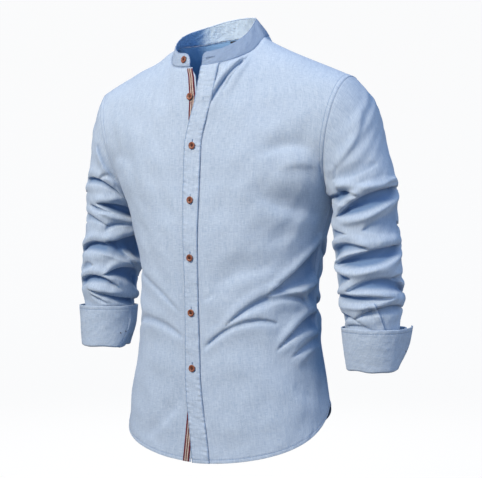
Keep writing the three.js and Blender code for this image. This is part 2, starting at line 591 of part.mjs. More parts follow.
const arm = BODY_STEPS;
const seams = [];
const sides = [
  { front: left, arm: sleeveLeft, sign: 1, shift: 0 },
  { front: right, arm: sleeveRight, sign: -1, shift: rightEdges.length },
];
for (const { front, arm: armPiece, sign, shift } of sides) {
  const last = front.grid[0].length - 1;
  const backLast = sign > 0 ? backColumns.length - 1 : 0;
  const neckColumn = shift + FRONT_NECK_STEPS;
  for (let i = 0; i < arm; i += 1) {
    seams.push([
      { piece: front, i, j: last, steps: [[0, -1]] },
      { piece: back, i, j: backLast, steps: [[0, -sign]] },
    ]);
  }
  seams.push([
    { piece: front, i: arm, j: last, steps: [[0, -1]] },
    { piece: back, i: arm, j: backLast, steps: [[0, -sign]] },
    { piece: armPiece, i: 0, j: ARM_STEPS, steps: [[1, 0]] },
  ]);
  for (let k = 1; k < ARM_STEPS; k += 1) {
    seams.push([
      { piece: front, i: arm + k, j: last, steps: [[0, -1]] },
      { piece: armPiece, i: 0, j: ARM_STEPS - k, steps: [[1, 0]] },
    ]);
    seams.push([
      { piece: back, i: arm + k, j: backLast, steps: [[0, -sign]] },
      { piece: armPiece, i: 0, j: ARM_STEPS + k, steps: [[1, 0]] },
    ]);
  }
  seams.push([
    { piece: front, i: top, j: last, steps: [[0, -1], [-1, 0]] },
    { piece: back, i: top, j: backLast, steps: [[0, -sign], [-1, 0]] },
    { piece: armPiece, i: 0, j: 0, steps: [[1, 0]] },
  ]);
  for (let k = 1; k < FRONT_SHOULDER_STEPS; k += 1) {
    seams.push([
      { piece: front, i: top, j: neckColumn + k, steps: [[-1, 0]] },
      { piece: back, i: top, j: centre + sign * (BACK_NECK_STEPS + k), steps: [[-1, 0]] },
    ]);
  }
}
// Neck seam: collar columns in order from the right front over the back to the left front
const collarRight = 2;
for (let j = 2; j < 3 + FRONT_NECK_STEPS; j += 1) {
  seams.push([
    { piece: right, i: top, j, steps: [[-1, 0]] },
    { piece: collar, i: 0, j: collarRight + j - 2, steps: [[1, 0]] },
  ]);
}
const neckRight = collarRight + 1 + FRONT_NECK_STEPS;
seams.push([
  { piece: right, i: top, j: 3 + FRONT_NECK_STEPS, steps: [[-1, 0]] },
  { piece: back, i: top, j: centre - BACK_NECK_STEPS, steps: [[-1, 0]] },
  { piece: collar, i: 0, j: neckRight, steps: [[1, 0]] },
]);
for (let k = 1; k < 2 * BACK_NECK_STEPS; k += 1) {
  seams.push([
    { piece: back, i: top, j: centre - BACK_NECK_STEPS + k, steps: [[-1, 0]] },
    { piece: collar, i: 0, j: neckRight + k, steps: [[1, 0]] },
  ]);
}
const neckLeft = neckRight + 2 * BACK_NECK_STEPS;
seams.push([
  { piece: left, i: top, j: FRONT_NECK_STEPS, steps: [[-1, 0]] },
  { piece: back, i: top, j: centre + BACK_NECK_STEPS, steps: [[-1, 0]] },
  { piece: collar, i: 0, j: neckLeft, steps: [[1, 0]] },
]);
for (let k = 1; k <= FRONT_NECK_STEPS; k += 1) {
  seams.push([
    { piece: left, i: top, j: FRONT_NECK_STEPS - k, steps: [[-1, 0]] },
    { piece: collar, i: 0, j: neckLeft + k, steps: [[1, 0]] },
  ]);
}
joinAll(seams);

const moved = (grid, normals, by) => grid.map((row, i) => row.map((p, j) => (
  p.clone().addScaledVector(normals[i][j], by)
)));
const wallOf = (piece, wall) => wallBetween(piece.grid, moved(piece.grid, piece.normals, -wall), piece.round);

addMesh('front_left', wallOf(left, WALL), COLOURS.cloth);
addMesh('front_right', wallOf(right, WALL), COLOURS.cloth);
addMesh('back', wallOf(back, WALL), COLOURS.cloth);
addMesh('sleeve_left', wallOf(sleeveLeft, WALL), COLOURS.cloth);
addMesh('sleeve_right', wallOf(sleeveRight, WALL), COLOURS.cloth);
addMesh('collar_band', wallOf(collar, COLLAR_WALL), COLOURS.cloth);

// A piece that lies on others: made from their points, moved out by its clear space and wall
function laidOn(grid, normals, clear, wall) {
  return wallBetween(moved(grid, normals, clear + wall), moved(grid, normals, clear));
}

// Placket: its lower end stops at the hem and its upper end just under the collar
const placketMm = [-PLACKET.half, 0, PLACKET.half];
const placketGrid = bodyRows.map((w) => placketMm.map((mm) => (
  body(mm / bodyMillimetres(w) + spreadAt(w, 'left'), Math.min(w, 1.997), true)
)));
addMesh('placket', laidOn(placketGrid, gridNormals(placketGrid, false, 1), PLACKET.proud - PLACKET.wall,
  PLACKET.wall), COLOURS.cloth);

// Tape on the right front, on that panel's own points
const tapeRows = (grid) => grid.slice(0, top).map((row) => row.slice(1, 3));
addMesh('placket_tape', laidOn(tapeRows(right.grid), tapeRows(right.normals), LIE, TAPE.wall), COLOURS.tape);

// Label inside the back neck, between two rows of the back panel
const labelColumns = [centre - 1, centre, centre + 1];
const labelGrid = [LABEL.low, LABEL.high].map((w) => labelColumns.map((j) => {
  const share = (w - bodyRows[top - 1]) / (bodyRows[top] - bodyRows[top - 1]);
  return backGrid[top - 1][j].clone().lerp(backGrid[top][j], share);
}));
const labelNormals = [0, 1].map(() => labelColumns.map((j) => back.normals[top - 1][j]));
addMesh('neck_label', laidOn(labelGrid, labelNormals, -WALL - LIE - LABEL.wall - 0.3, LABEL.wall), COLOURS.label);

// Slit plackets above the cuffs, on the sleeves' own points
function sleevePlacket(piece, column, wall) {
  const rows = SLIT.rows.map((i) => [column, column + 1].map((j) => [i, j]));
  const grid = rows.map((row) => row.map(([i, j]) => piece.grid[i][j]));
  const normals = rows.map((row) => row.map(([i, j]) => piece.normals[i][j]));
  return laidOn(grid, normals, LIE, wall);
}
addMesh('sleeve_placket_left', sleevePlacket(sleeveLeft, SLIT.left, SLIT.wall), COLOURS.cloth);
addMesh('sleeve_placket_right', sleevePlacket(sleeveRight, SLIT.right, SLIT.wall), COLOURS.cloth);

// Cuffs: a band turned up over the sleeve's end, lapped over its own beginning
function cuffGrid(cuff) {
  const rows = [];
  const profile = [0, 0.33, 0.66, 1].map((share) => ({ share, in: 0, down: 0 }));
  for (const turn of [45, 90]) {
    profile.push({
      share: 1,
      in: CUFF.bend * (1 - Math.cos(rad(turn))),
      down: CUFF.bend * Math.sin(rad(turn)),
    });
  }
  profile.push({ share: 1, in: CUFF.lip, down: CUFF.bend });
  for (const { share, in: inward, down } of profile) {
    const row = [];
    for (let k = 0; k <= CUFF_STEPS; k += 1) {
      const u = k / CUFF_STEPS;
      const phi = rad(cuff.end + cuff.turn * u * (360 + CUFF.lap));
      const open = cuff.flare * (1 - smooth(u, 0, 0.12)) * (1 - 0.55 * share);
      const radius = lerp(cuff.top, cuff.bottom, share) - CUFF.spiral * u + open - inward;
      const z = lerp(cuff.high, cuff.low, share) - down + open * 0.3;
      row.push(V(cuff.side * (cuff.x + radius * Math.cos(phi)), cuff.y - radius * cuff.round * Math.sin(phi), z));
    }
    rows.push(row);
  }
  return rows;
}
for (const cuff of CUFFS) {
  const grid = cuffGrid(cuff);
  const piece = makePiece(grid, cuff.face);
  addMesh(cuff.name, wallOf(piece, CUFF_WALL), COLOURS.inside);
}

// Buttons: a disc with a raised rim, a sunk middle and a domed back edge
function buttonGeometry() {
  const r = BUTTON.radius;
  const h = BUTTON.height;
  const profile = [
    [0, 0], [r * 0.8, 0], [r, h * 0.35], [r * 0.93, h], [r * 0.66, h * 0.9], [r * 0.5, h - BUTTON.sunk], [0, h - BUTTON.sunk],
  ];
  const lathe = new THREE.LatheGeometry(profile.map(([x, y]) => new THREE.Vector2(x, y)), BUTTON.sides);
  lathe.rotateX(Math.PI / 2);
  const plain = new THREE.BufferGeometry();
  plain.setAttribute('position', lathe.getAttribute('position'));
  plain.setIndex(lathe.getIndex());
  return facingOut(mergeVertices(plain, 1e-4));
}

function addButton(name, point, normal) {
  const mesh = addMesh(name, buttonGeometry(), COLOURS.button, 0.45);
  mesh.quaternion.setFromUnitVectors(V(0, 0, 1), normal);
  mesh.position.copy(point);
  return mesh;
}

// Highest clear place for a disc on a curved strip
function seat(share, w, out) {
  const p = body(share, w, true);
  const n = normalOf((x, y) => body(x, y, true), share, w, 1);
  return { p: p.clone().addScaledVector(n, out), n };
}

const rowAt = (z) => {
  let low = 0;
  let high = 2;
  for (let k = 0; k < 40; k += 1) {
    const mid = (low + high) / 2;
    if (levelOf(mid) < z) low = mid;
    else high = mid;
  }
  return low;
};

BUTTON_Z.forEach((z, k) => {
  const w = rowAt(z);
  const onTape = k === 0;
  const share = onTape ? spreadAt(w, 'right') : spreadAt(w, 'left');
  const out = onTape ? -PLACKET.sink + LIE + TAPE.wall + LIE : PLACKET.proud + LIE;
  const { p, n } = seat(share, w, out);
  const flip = onTape ? -1 : 1;
  addButton(`button_front_${k + 1}`, V(flip * p.x, p.y, p.z), V(flip * n.x, n.y, n.z));
});
const collarSeat = {
  p: collar.grid[1][3].clone().lerp(collar.grid[2][3], 0.5),
  n: collar.normals[1][3].clone().add(collar.normals[2][3]).normalize(),
};
addButton('button_collar', collarSeat.p.clone().addScaledVector(collarSeat.n, 2 * LIE), collarSeat.n);

export default group;
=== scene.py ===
"""Mandarin collar shirt: cloth, sewing, buttons and stage. Tables in millimetres, meshes in metres."""

from collections import namedtuple

import bpy
import numpy as np
from bpy.props import FloatProperty, FloatVectorProperty
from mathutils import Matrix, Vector


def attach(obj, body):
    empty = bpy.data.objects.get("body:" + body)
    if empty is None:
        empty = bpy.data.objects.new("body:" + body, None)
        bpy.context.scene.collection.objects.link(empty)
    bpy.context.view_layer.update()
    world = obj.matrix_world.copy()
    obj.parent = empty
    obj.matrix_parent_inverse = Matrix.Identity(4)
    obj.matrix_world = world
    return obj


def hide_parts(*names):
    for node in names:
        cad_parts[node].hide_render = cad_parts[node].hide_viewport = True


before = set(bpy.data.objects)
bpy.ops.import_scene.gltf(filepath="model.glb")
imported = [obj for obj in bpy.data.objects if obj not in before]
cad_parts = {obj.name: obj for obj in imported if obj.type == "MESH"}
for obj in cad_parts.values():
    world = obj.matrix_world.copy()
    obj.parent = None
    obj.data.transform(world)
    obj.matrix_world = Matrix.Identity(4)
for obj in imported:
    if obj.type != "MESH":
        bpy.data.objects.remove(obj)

bl_info = {
    "name": "Mandarin collar shirt",
    "version": (1, 0, 0),
    "blender": (4, 5, 0),
    "location": "View3D > Sidebar > Shirt",
    "description": "Builds a worn shirt with a stand collar from its named sizes",
    "category": "Object",
}

MM = 0.001

# Body sections: height, half width, depth in front and behind
SECTIONS = np.array([
    (-760, 192, 116, 116),
    (-700, 190, 116, 116),
    (-617, 183, 116, 115),
    (-565, 174, 116, 113),
    (-517, 166, 116, 110),
    (-483, 163, 117, 107),
    (-452, 160, 118, 105),
    (-417, 160, 119, 106),
    (-366, 167, 121, 111),
    (-323, 176, 122, 117),
    (-293, 187, 121, 120),
    (-265, 197, 120, 121),
    (-200, 205, 114, 121),
], float)

# How far the front edges have spread: height, left, right
SPREAD = np.array([
    (-720, 16, 15),
    (-700, 15, 14),
    (-650, 10, 9),
    (-593, 3, 4),
    (-545, 0, 0),
    (-181, 0, 0),
    (-140, 8, 3),
    (-100, 18, 9),
    (-50, 24, 17),
    (-40, 24, 17),
], float)

# Sleeve rings: share, centre x y z, lean of the outer side, half sizes out and fore,
# and how far the right sleeve's ring is shifted out and lifted
RINGS = np.array([
    (0.00, 219, -6.5, -169, 13.0, 98.5, 62, 0, 0),
    (0.10, 235, -4, -190, 24.8, 85.7, 61, -2, 0),
    (0.20, 245, -1, -223, 40.3, 64.5, 60, -6, 0),
    (0.30, 252, 1, -258, 56.6, 58.1, 57, -6.5, 0),
    (0.42, 253, 3, -300, 80.0, 54, 55, -8, 0),
    (0.56, 257, 4, -352, 90, 54, 54, -3, 0),
    (0.76, 264, 4, -430, 90, 51, 51, -2, 6),
    (0.88, 266, 4, -478, 90, 44, 43, -3, 12),
    (1.00, 267, 4, -540.2, 90, 37.5, 35.5, -3, 12),
])

ARMPIT_Z = -265.0
NECK = dict(half=86, depth=72, y=-31, front_drop=50, back_rise=13)
TIP = np.array([241.0, -18.0, -73.0])
SHOULDER_SAG = 22
PANEL = dict(hem=345, less_at_armpit=25, less_at_top=20)  # half width of a panel, in millimetres

# How steeply the cloth reaches the neck's edge and the shoulder seam, and leaves the armpit level
TOP_SLOPES = {
    "front": np.array([(0.0, 35, 100), (0.0, 130, 0)]),
    "back": np.array([(0.0, -35, 100), (0.0, -95, 20)]),
}
ARMPIT_SLOPE = dict(step=4, rise=210)

HEM = dict(low=-700, rise=92, front_power=1.75, back_round=0.26)
SIDE_ANGLE = dict(hem=108, armpit=93)
SQUARENESS = 0.032
HIP = dict(by=0.03, start=420, end=680)  # the right half is a little wider below the waist
NECK_SHARE = 0.45  # share of a panel's top edge where the neck ends and the shoulder seam starts
ARM = dict(x=219, y=-6.5, z=-169, lean=22, skew=11.5, half=62, height=96, forward=2, pull=1.5)
CUFF = dict(lap=26, bend=4, lip=9.5, spiral=3.5)
CUFF_LEFT = dict(side=1, x=268, y=4, high=-475, low=-539, top=56, bottom=46.5, round=0.94, end=-38, turn=1,
                 flare=9, cut=26, tuck=10, tucked=-36)
CUFF_RIGHT = dict(side=-1, x=263, y=4, high=-457, low=-527, top=55.5, bottom=52.5, round=0.97, end=176,
                  turn=-1, flare=2, cut=30, tuck=17, tucked=205)
COLLAR = dict(front=24, side_left=30, side_right=23, back=33, lean=12, lean_more=8,
              left_round=8, right_round=19)
DROP = dict(by=6, inner=(10, 80), outer=(110, 200), rise=(-120, -20))
PLACKET = dict(half=16, left_start=6.0, underlap=9, sink=1.9, top=1.997)
TAPE = dict(half=6, top=1.975)
SLIT = dict(left=(60, 33, 1), right=(212, 239, -1), wide=17, start=0.765, end=0.905)
THREAD = dict(button=0.28, hole=0.42, mark=0.5)
EDGE_HALF = 0.02  # what is left of a strip's half wall at its edge
SLEEVE_TURN = 215  # degrees past which a sleeve's angles are counted backwards
BUTTON_Z = (-100, -181, -270, -364, -454, -545)
HOLES = dict(off=1.05, half=0.72, deep=1.0)
LABEL = dict(right=-23, left=28, low=1.905, high=1.99)
# The painted shade in a pocket deepens with the pocket's depth, up to this depth.
DEEP = 5.5  # depth in millimetres at which a pocket is as dark as it gets
OVERHANG = 0.5  # how far a pocket's cloth is drawn up under its roll, as a share of its depth
DEGREE = 0.93  # millimetres round a sleeve to one degree

# Wall and edge radius of the thicker strips, and how far their middle lies out from the fitted surface
LAYERS = {
    "placket": (1.3, 0.4),
    "tape": (0.6, 0.3),
    "collar": (1.9, 1.0),
    "slit": (0.9, 0.35),
    "cuff": (1.9, 1.0),
    "label": (0.5, 0.25),
}
RAISED = dict(placket=1.25, tape=0.72, collar=-0.75, cuff=-1.05, label=-2.2)

# A crease: three points of it (share or degrees, and height), half width, depth (a ridge is positive),
# and skew, by which it is wider above than below
Fold = namedtuple("Fold", "start via end width depth skew", defaults=(0.25,))

# A pocket is the cloth sunk under a roll: three places along it, each (share or degrees, top, bottom),
# its depth, the share of the way down where it is deepest, and how far its ends run out
Pocket = namedtuple("Pocket", "start via end depth peak run", defaults=(0.5, 22))

FOLDS_LEFT = (
    Fold((0.40, -262), (0.60, -284), (0.98, -290), 18, -8),
    Fold((0.34, -44), (0.27, -66), (0.20, -98), 7, 2.5),
    Fold((0.065, -432), (0.10, -430), (0.15, -422), 5, -1.6),
    Fold((0.06, -512), (0.09, -507), (0.14, -494), 5, -2),
    Fold((0.42, -196), (0.58, -184), (0.83, -187), 11, -5),
    Fold((0.54, -217), (0.68, -212), (0.9, -214), 10, 4.2),
    Fold((0.42, -349), (0.53, -330), (0.68, -325), 18, -4.5),
    Fold((0.14, -411), (0.34, -383), (0.63, -376), 18, -4.5),
    Fold((0.50, -427), (0.68, -420), (0.98, -404), 6, 4),
    Fold((0.66, -536), (0.79, -516), (1.0, -503), 8, 3),
    Fold((0.58, -571), (0.66, -583), (0.8, -597), 18, -3),
)
POCKETS_LEFT = (
    Pocket((0.12, -92, -108), (0.19, -62, -75), (0.27, -42, -50), 6, 0.4, 6),
    Pocket((0.19, -77, -88), (0.25, -52, -61), (0.31, -36, -43), 3, 0.4, 6),
    Pocket((0.49, -421, -424), (0.73, -376, -414), (1.00, -329, -391), 12, 0.6),
    Pocket((0.22, -470, -473), (0.41, -430, -447), (0.80, -430, -440), 6, 0.55, 12),
    Pocket((0.06, -511, -517), (0.23, -474, -484), (0.52, -466, -472), 4, 0.6, 8),
    Pocket((0.53, -507, -510), (0.69, -475, -491), (1.00, -455, -488), 10),
    Pocket((0.65, -516, -524), (0.78, -500, -517), (1.00, -491, -510), 4),
    Pocket((0.88, -419, -439), (0.95, -413, -450), (1.00, -413, -450), 4.5),
)
FOLDS_RIGHT = (
    Fold((0.9, -430), (0.66, -440), (0.42, -452), 15, 4),
    Fold((0.98, -345), (0.72, -376), (0.5, -388), 17, -5),
    Fold((0.5, -205), (0.68, -192), (0.88, -196), 12, -3),
    Fold((0.30, -668), (0.15, -625), (0.05, -589), 13, -3.2),
)
POCKETS_RIGHT = (
    Pocket((0.61, -384, -397), (0.29, -411, -424), (0.13, -442, -450), 1.7, 0.6),
    Pocket((0.60, -473, -486), (0.22, -470, -484), (0.06, -493, -502), 2.4, 0.6),
)
FOLDS_BACK = (
    Fold((-0.9, -418), (-0.3, -440), (0.35, -432), 15, 5),
    Fold((0.85, -480), (0.45, -502), (0.05, -496), 15, 4),
    Fold((-0.95, -265), (-0.7, -285), (-0.4, -280), 18, -4),
    Fold((0.95, -262), (0.68, -282), (0.42, -272), 18, -4),
)
POCKETS_BACK = (
    Pocket((-1.0, -340, -352), (-0.55, -392, -416), (-0.10, -412, -418), 8, 0.6),
    Pocket((1.0, -330, -350), (0.60, -376, -402), (0.15, -402, -408), 9, 0.6),
    Pocket((-0.45, -462, -466), (0.20, -464, -482), (0.95, -430, -452), 8, 0.5, 18),
    Pocket((-1.0, -462, -472), (-0.65, -484, -502), (-0.20, -500, -504), 6, 0.45, 18),
    Pocket((-0.75, -520, -530), (-0.40, -536, -550), (-0.05, -548, -552), 4, 0.5, 10),
)
FOLDS_SLEEVE_LEFT = (
    Fold((37, -130), (66, -184), (114, -224), 5.5, 3.6),
    Fold((33, -146), (54, -180), (80, -203), 9, -0.6),
    Fold((106, -216), (104, -224), (114, -238), 3, -2.5),
    Fold((115, -246), (76, -249), (30, -252), 7, 3),
    Fold((108, -305), (64, -299), (0, -262), 6, 3),
    Fold((132, -382), (81, -386), (0, -358), 6, 3),
    Fold((147, -437), (90, -440), (25, -431), 5, 3),
)
POCKETS_SLEEVE_LEFT = (
    Pocket((113, -233, -241), (78, -214, -237), (40, -209, -220), 1.6, 0.82, 20),
    Pocket((64, -240, -247), (36, -231, -246), (8, -227, -238), 2, 0.85, 18),
    Pocket((24, -246, -250), (14, -241, -251), (-4, -240, -246), 3.5, 0.5, 10),
    Pocket((110, -255, -271), (90, -258, -269), (74, -266, -268), 5, 0.45, 5),
    Pocket((104, -284, -299), (64, -262, -293), (-17, -249, -258), 13, 0.52, 26),
    Pocket((166, -264, -268), (124, -261, -276), (104, -257, -280), 6),
    Pocket((68, -315, -322), (38, -289, -328), (-14, -275, -326), 3),
    Pocket((138, -317, -336), (117, -320, -331), (102, -324, -327), 5),
    Pocket((140, -344, -370), (101, -338, -357), (65, -347, -350), 8),
    Pocket((134, -371, -375), (78, -352, -380), (-6, -341, -353), 13, 0.66, 26),
    Pocket((140, -382, -416), (117, -388, -405), (99, -395, -397), 6),
    Pocket((16, -390, -399), (5, -388, -401), (-22, -389, -399), 4),
    Pocket((110, -414, -417), (61, -393, -416), (-31, -414, -420), 9, 0.7),
    Pocket((142, -421, -430), (86, -421, -435), (30, -424, -427), 8, 0.4),
    Pocket((97, -456, -460), (60, -441, -455), (3, -437, -451), 5, 0.3),
    Pocket((149, -451, -476), (124, -452, -462), (92, -463, -466), 6),
    Pocket((142, -475, -480), (106, -467, -476), (60, -476, -480), 4, 0.5, 5),
    Pocket((-45, -262, -268), (-92, -275, -294), (-160, -286, -290), 9, 0.4, 20),
    Pocket((-20, -306, -311), (-70, -314, -324), (-130, -328, -331), 6, 0.5, 15),
    Pocket((-40, -350, -357), (-90, -356, -376), (-160, -372, -378), 10, 0.42, 20),
    Pocket((-50, -402, -407), (-100, -400, -417), (-160, -398, -403), 8, 0.45, 20),
    Pocket((-25, -440, -445), (-85, -433, -448), (-150, -444, -448), 7, 0.4, 15),
)
FOLDS_SLEEVE_RIGHT = (
    Fold((74, -160), (95, -190), (118, -222), 8, 3.5),
    Fold((87, -262), (117, -266), (150, -257), 7, 3),
    Fold((98, -286), (128, -299), (187, -312), 6, 3),
    Fold((96, -352), (124, -366), (190, -386), 6, 3),
    Fold((78, -424), (121, -430), (150, -432), 5, 3),
)
POCKETS_SLEEVE_RIGHT = (
    Pocket((82, -165, -178), (106, -196, -209), (128, -226, -232), 3, 0.8, 5),
    Pocket((61, -225, -238), (106, -233, -244), (144, -256, -260), 6.5),
    Pocket((102, -222, -229), (125, -221, -233), (142, -238, -247), 3.5, 0.6, 15),
    Pocket((95, -272, -277), (135, -273, -294), (180, -282, -304), 12, 0.58, 24),
    Pocket((68, -274, -280), (94, -279, -290), (122, -289, -292), 5, 0.5, 5),
    Pocket((50, -288, -304), (80, -297, -306), (106, -310, -313), 4.5, 0.35),
    Pocket((111, -309, -324), (134, -305, -315), (158, -307, -313), 3.5, 0.5, 5),
    Pocket((114, -341, -346), (146, -333, -362), (198, -319, -376), 13, 0.55, 24),
    Pocket((44, -353, -361), (106, -341, -363), (176, -382, -387), 8.5, 0.42),
    Pocket((62, -378, -396), (78, -377, -392), (88, -383, -386), 4),
    Pocket((121, -396, -403), (146, -386, -410), (206, -395, -432), 11),
    Pocket((59, -406, -422), (104, -402, -417), (144, -421, -425), 8, 0.4),
    Pocket((90, -430, -434), (130, -438, -448), (210, -444, -459), 7.5, 0.42),
    Pocket((86, -437, -442), (102, -442, -450), (125, -452, -454), 3.5, 0.5, 5),
    Pocket((40, -250, -256), (-20, -260, -276), (-100, -280, -285), 9, 0.45, 18),
    Pocket((35, -305, -310), (-30, -304, -318), (-110, -318, -322), 8, 0.4, 15),
    Pocket((20, -356, -361), (-40, -350, -368), (-120, -372, -378), 10, 0.4, 18),
    Pocket((35, -398, -404), (-40, -390, -406), (-130, -404, -408), 7, 0.5, 15),
    Pocket((30, -438, -442), (-40, -424, -438), (-130, -438, -443), 7, 0.4, 15),
)


def smooth(x, a, b):
    """Rises smoothly from 0 at a to 1 at b."""
    t = np.clip((x - a) / (b - a), 0, 1)
    return t * t * (3 - 2 * t)


def track(table, column, at):
    """Cubic curve through a table's rows, with slopes from the rows on each side."""
    xs, ys = table[:, 0], table[:, column]
    n = len(xs)
    low = np.maximum(np.arange(n) - 1, 0)
    high = np.minimum(np.arange(n) + 1, n - 1)
    slopes = (ys[high] - ys[low]) / (xs[high] - xs[low])
    x = np.clip(at, xs[0], xs[-1])
    k = np.clip(np.searchsorted(xs, x, side="left") - 1, 0, n - 2)
    h = xs[k + 1] - xs[k]
    u = (x - xs[k]) / h
    return (ys[k] * (2 * u**3 - 3 * u**2 + 1) + slopes[k] * h * (u**3 - 2 * u**2 + u)
            + ys[k + 1] * (3 * u**2 - 2 * u**3) + slopes[k + 1] * h * (u**3 - u**2))


def points(x, y, z):
    return np.stack(np.broadcast_arrays(np.asarray(x, float), y, z), -1)


def rounded(share):
    """Height of a quarter circle at a share of its width."""
    return np.sqrt(np.clip(1 - (1 - share) ** 2, 0, 1))


def unit(v):
    return v / np.maximum(np.linalg.norm(v, axis=-1, keepdims=True), 1e-9)


def section(z, t):
    """Point of the body at a height, t in degrees from the centre front to the centre back."""
    s, c = np.sin(np.radians(t)), np.cos(np.radians(t))
    full = 1 + SQUARENESS * np.sin(np.radians(2 * t)) ** 2
    half = track(SECTIONS, 1, z)
    depth = np.where(c > 0, track(SECTIONS, 2, z), track(SECTIONS, 3, z))
    return points(half * s * full, -depth * c * full, z)


def side_angle(z):
    """Degrees round the body at which the side seam lies."""
    share = (ARMPIT_Z - z) / (ARMPIT_Z - HEM["low"])
    return SIDE_ANGLE["armpit"] + (SIDE_ANGLE["hem"] - SIDE_ANGLE["armpit"]) * share


def hem_height(a, front):
    """The front hem rises by a power of the share; the back one is round in the middle, then straight."""
    if front:
        return HEM["low"] + HEM["rise"] * a ** HEM["front_power"]
    k = HEM["back_round"]
    return HEM["low"] + HEM["rise"] * (np.hypot(a, k) - k) / (np.hypot(1, k) - k)


def top_edge(a, front):
    """The neck curve up to NECK_SHARE, then the shoulder seam."""
    r = np.radians(90 * np.clip(a / NECK_SHARE, 0, 1))
    c = np.clip(np.cos(r), 0, 1)
    across, depth = NECK["half"] * np.sin(r), NECK["depth"] * c
    if front:
        neck = points(across, NECK["y"] - depth, -NECK["front_drop"] * c ** 0.75)
    else:
        neck = points(across, NECK["y"] + depth, NECK["back_rise"] * c ** 0.8)
    along = (a - NECK_SHARE) / (1 - NECK_SHARE)
    inner = np.array([NECK["half"], NECK["y"], 0.0])
    shoulder = inner + (TIP - inner) * along[..., None]
    shoulder[..., 2] -= SHOULDER_SAG * along * np.clip(1 - along, 0, 1) ** 2.2
    return np.where((a <= NECK_SHARE)[..., None], neck, shoulder)


def armhole(phi):
    """Armhole seam: a leaning oval, in degrees from the shoulder tip over the front."""
    c, s = np.cos(np.radians(phi)), np.sin(np.radians(phi))
    return points(ARM["x"] + ARM["lean"] * c - ARM["forward"] * s,
                  ARM["y"] - ARM["skew"] * c - ARM["half"] * s,
                  ARM["z"] + ARM["height"] * c)


def upper(a, v, front):
    """Cubic patch from the armpit level to the top edge."""
    t = a * SIDE_ANGLE["armpit"] if front else 180 - a * (180 - SIDE_ANGLE["armpit"])
    level = np.full_like(a, ARMPIT_Z)
    p0 = section(level, t)
    d0 = (p0 - section(level - ARMPIT_SLOPE["step"], t)) * (ARMPIT_SLOPE["rise"] / ARMPIT_SLOPE["step"])
    over = smooth(a, 0.15, NECK_SHARE + 0.05)[..., None]
    steep, flat = TOP_SLOPES["front" if front else "back"]
    d1 = steep * (1 - over) + flat * over
    v = v[..., None]
    return (p0 * (2 * v**3 - 3 * v**2 + 1) + d0 * (v**3 - 2 * v**2 + v)
            + top_edge(a, front) * (3 * v**2 - 2 * v**3) + d1 * (v**3 - v**2))


def body(s, w, front):
    """Body surface: s from the centre line (0) to the side seam (1), w from the hem (0) to the top (2)."""
    s, w = np.broadcast_arrays(np.asarray(s, float), np.asarray(w, float))
    a = np.abs(s)
    hem = hem_height(a, front)
    z = hem + (ARMPIT_Z - hem) * np.clip(w, 0, 1)
    side = side_angle(z)
    low = section(z, a * side if front else 180 - a * (180 - side))
    v = np.clip(w - 1, 0, 1)
    phi = 180 * (1 - v) if front else 180 + 180 * v
    pull = (np.minimum(a, 1.2) ** ARM["pull"])[..., None]
    high = upper(a, v, front) + (armhole(phi) - upper(np.ones_like(a), v, front)) * pull
    p = np.where((w <= 1)[..., None], low, high)
    p[..., 0] *= np.where(s < 0, -hip_width(p[..., 2]), 1)
    return p


def hip_width(z):
    """How much wider the wearer's right half is at a height."""
    return 1 + HIP["by"] * smooth(-z, HIP["start"], HIP["end"])


def fold_depth(folds, a, z, across):
    """Each crease is a bell across its curve, deepest in the middle of its length; they are added up."""
    a, z = np.broadcast_arrays(a, z)
    total = np.zeros(a.shape)
    t = np.linspace(0, 1, 25)
    for fold in folds:
        bend = [2 * fold.via[k] - 0.5 * (fold.start[k] + fold.end[k]) for k in (0, 1)]
        line = [(1 - t) ** 2 * fold.start[k] + 2 * t * (1 - t) * bend[k] + t * t * fold.end[k]
                for k in (0, 1)]
        reach = 2.6 * fold.width * (1 + abs(fold.skew))
        near = ((a > line[0].min() - reach / across) & (a < line[0].max() + reach / across)
                & (z > line[1].min() - reach) & (z < line[1].max() + reach))
        if not near.any():
            continue
        scale = across[near] if np.ndim(across) else across
        x, y = a[near] * scale, z[near]
        best, side, place = np.full(x.shape, 1e9), np.zeros(x.shape), np.zeros(x.shape)
        for k in range(len(t) - 1):
            ax, ay = line[0][k] * scale, line[1][k]
            bx, by = line[0][k + 1] * scale - ax, line[1][k + 1] - ay
            u = np.clip(((x - ax) * bx + (y - ay) * by) / (bx * bx + by * by + 1e-9), 0, 1)
            d = np.hypot(x - ax - u * bx, y - ay - u * by)
            closer = d < best
            best = np.where(closer, d, best)
            side = np.where(closer, y - ay - u * by, side)
            place = np.where(closer, (k + u) / (len(t) - 1), place)
        width = fold.width * (1 + fold.skew * np.tanh(side / 4))
        along = 0.35 + 0.65 * np.sin(np.pi * place)
        total[near] += fold.depth * along * np.exp(-(best / width) ** 2)
    return total


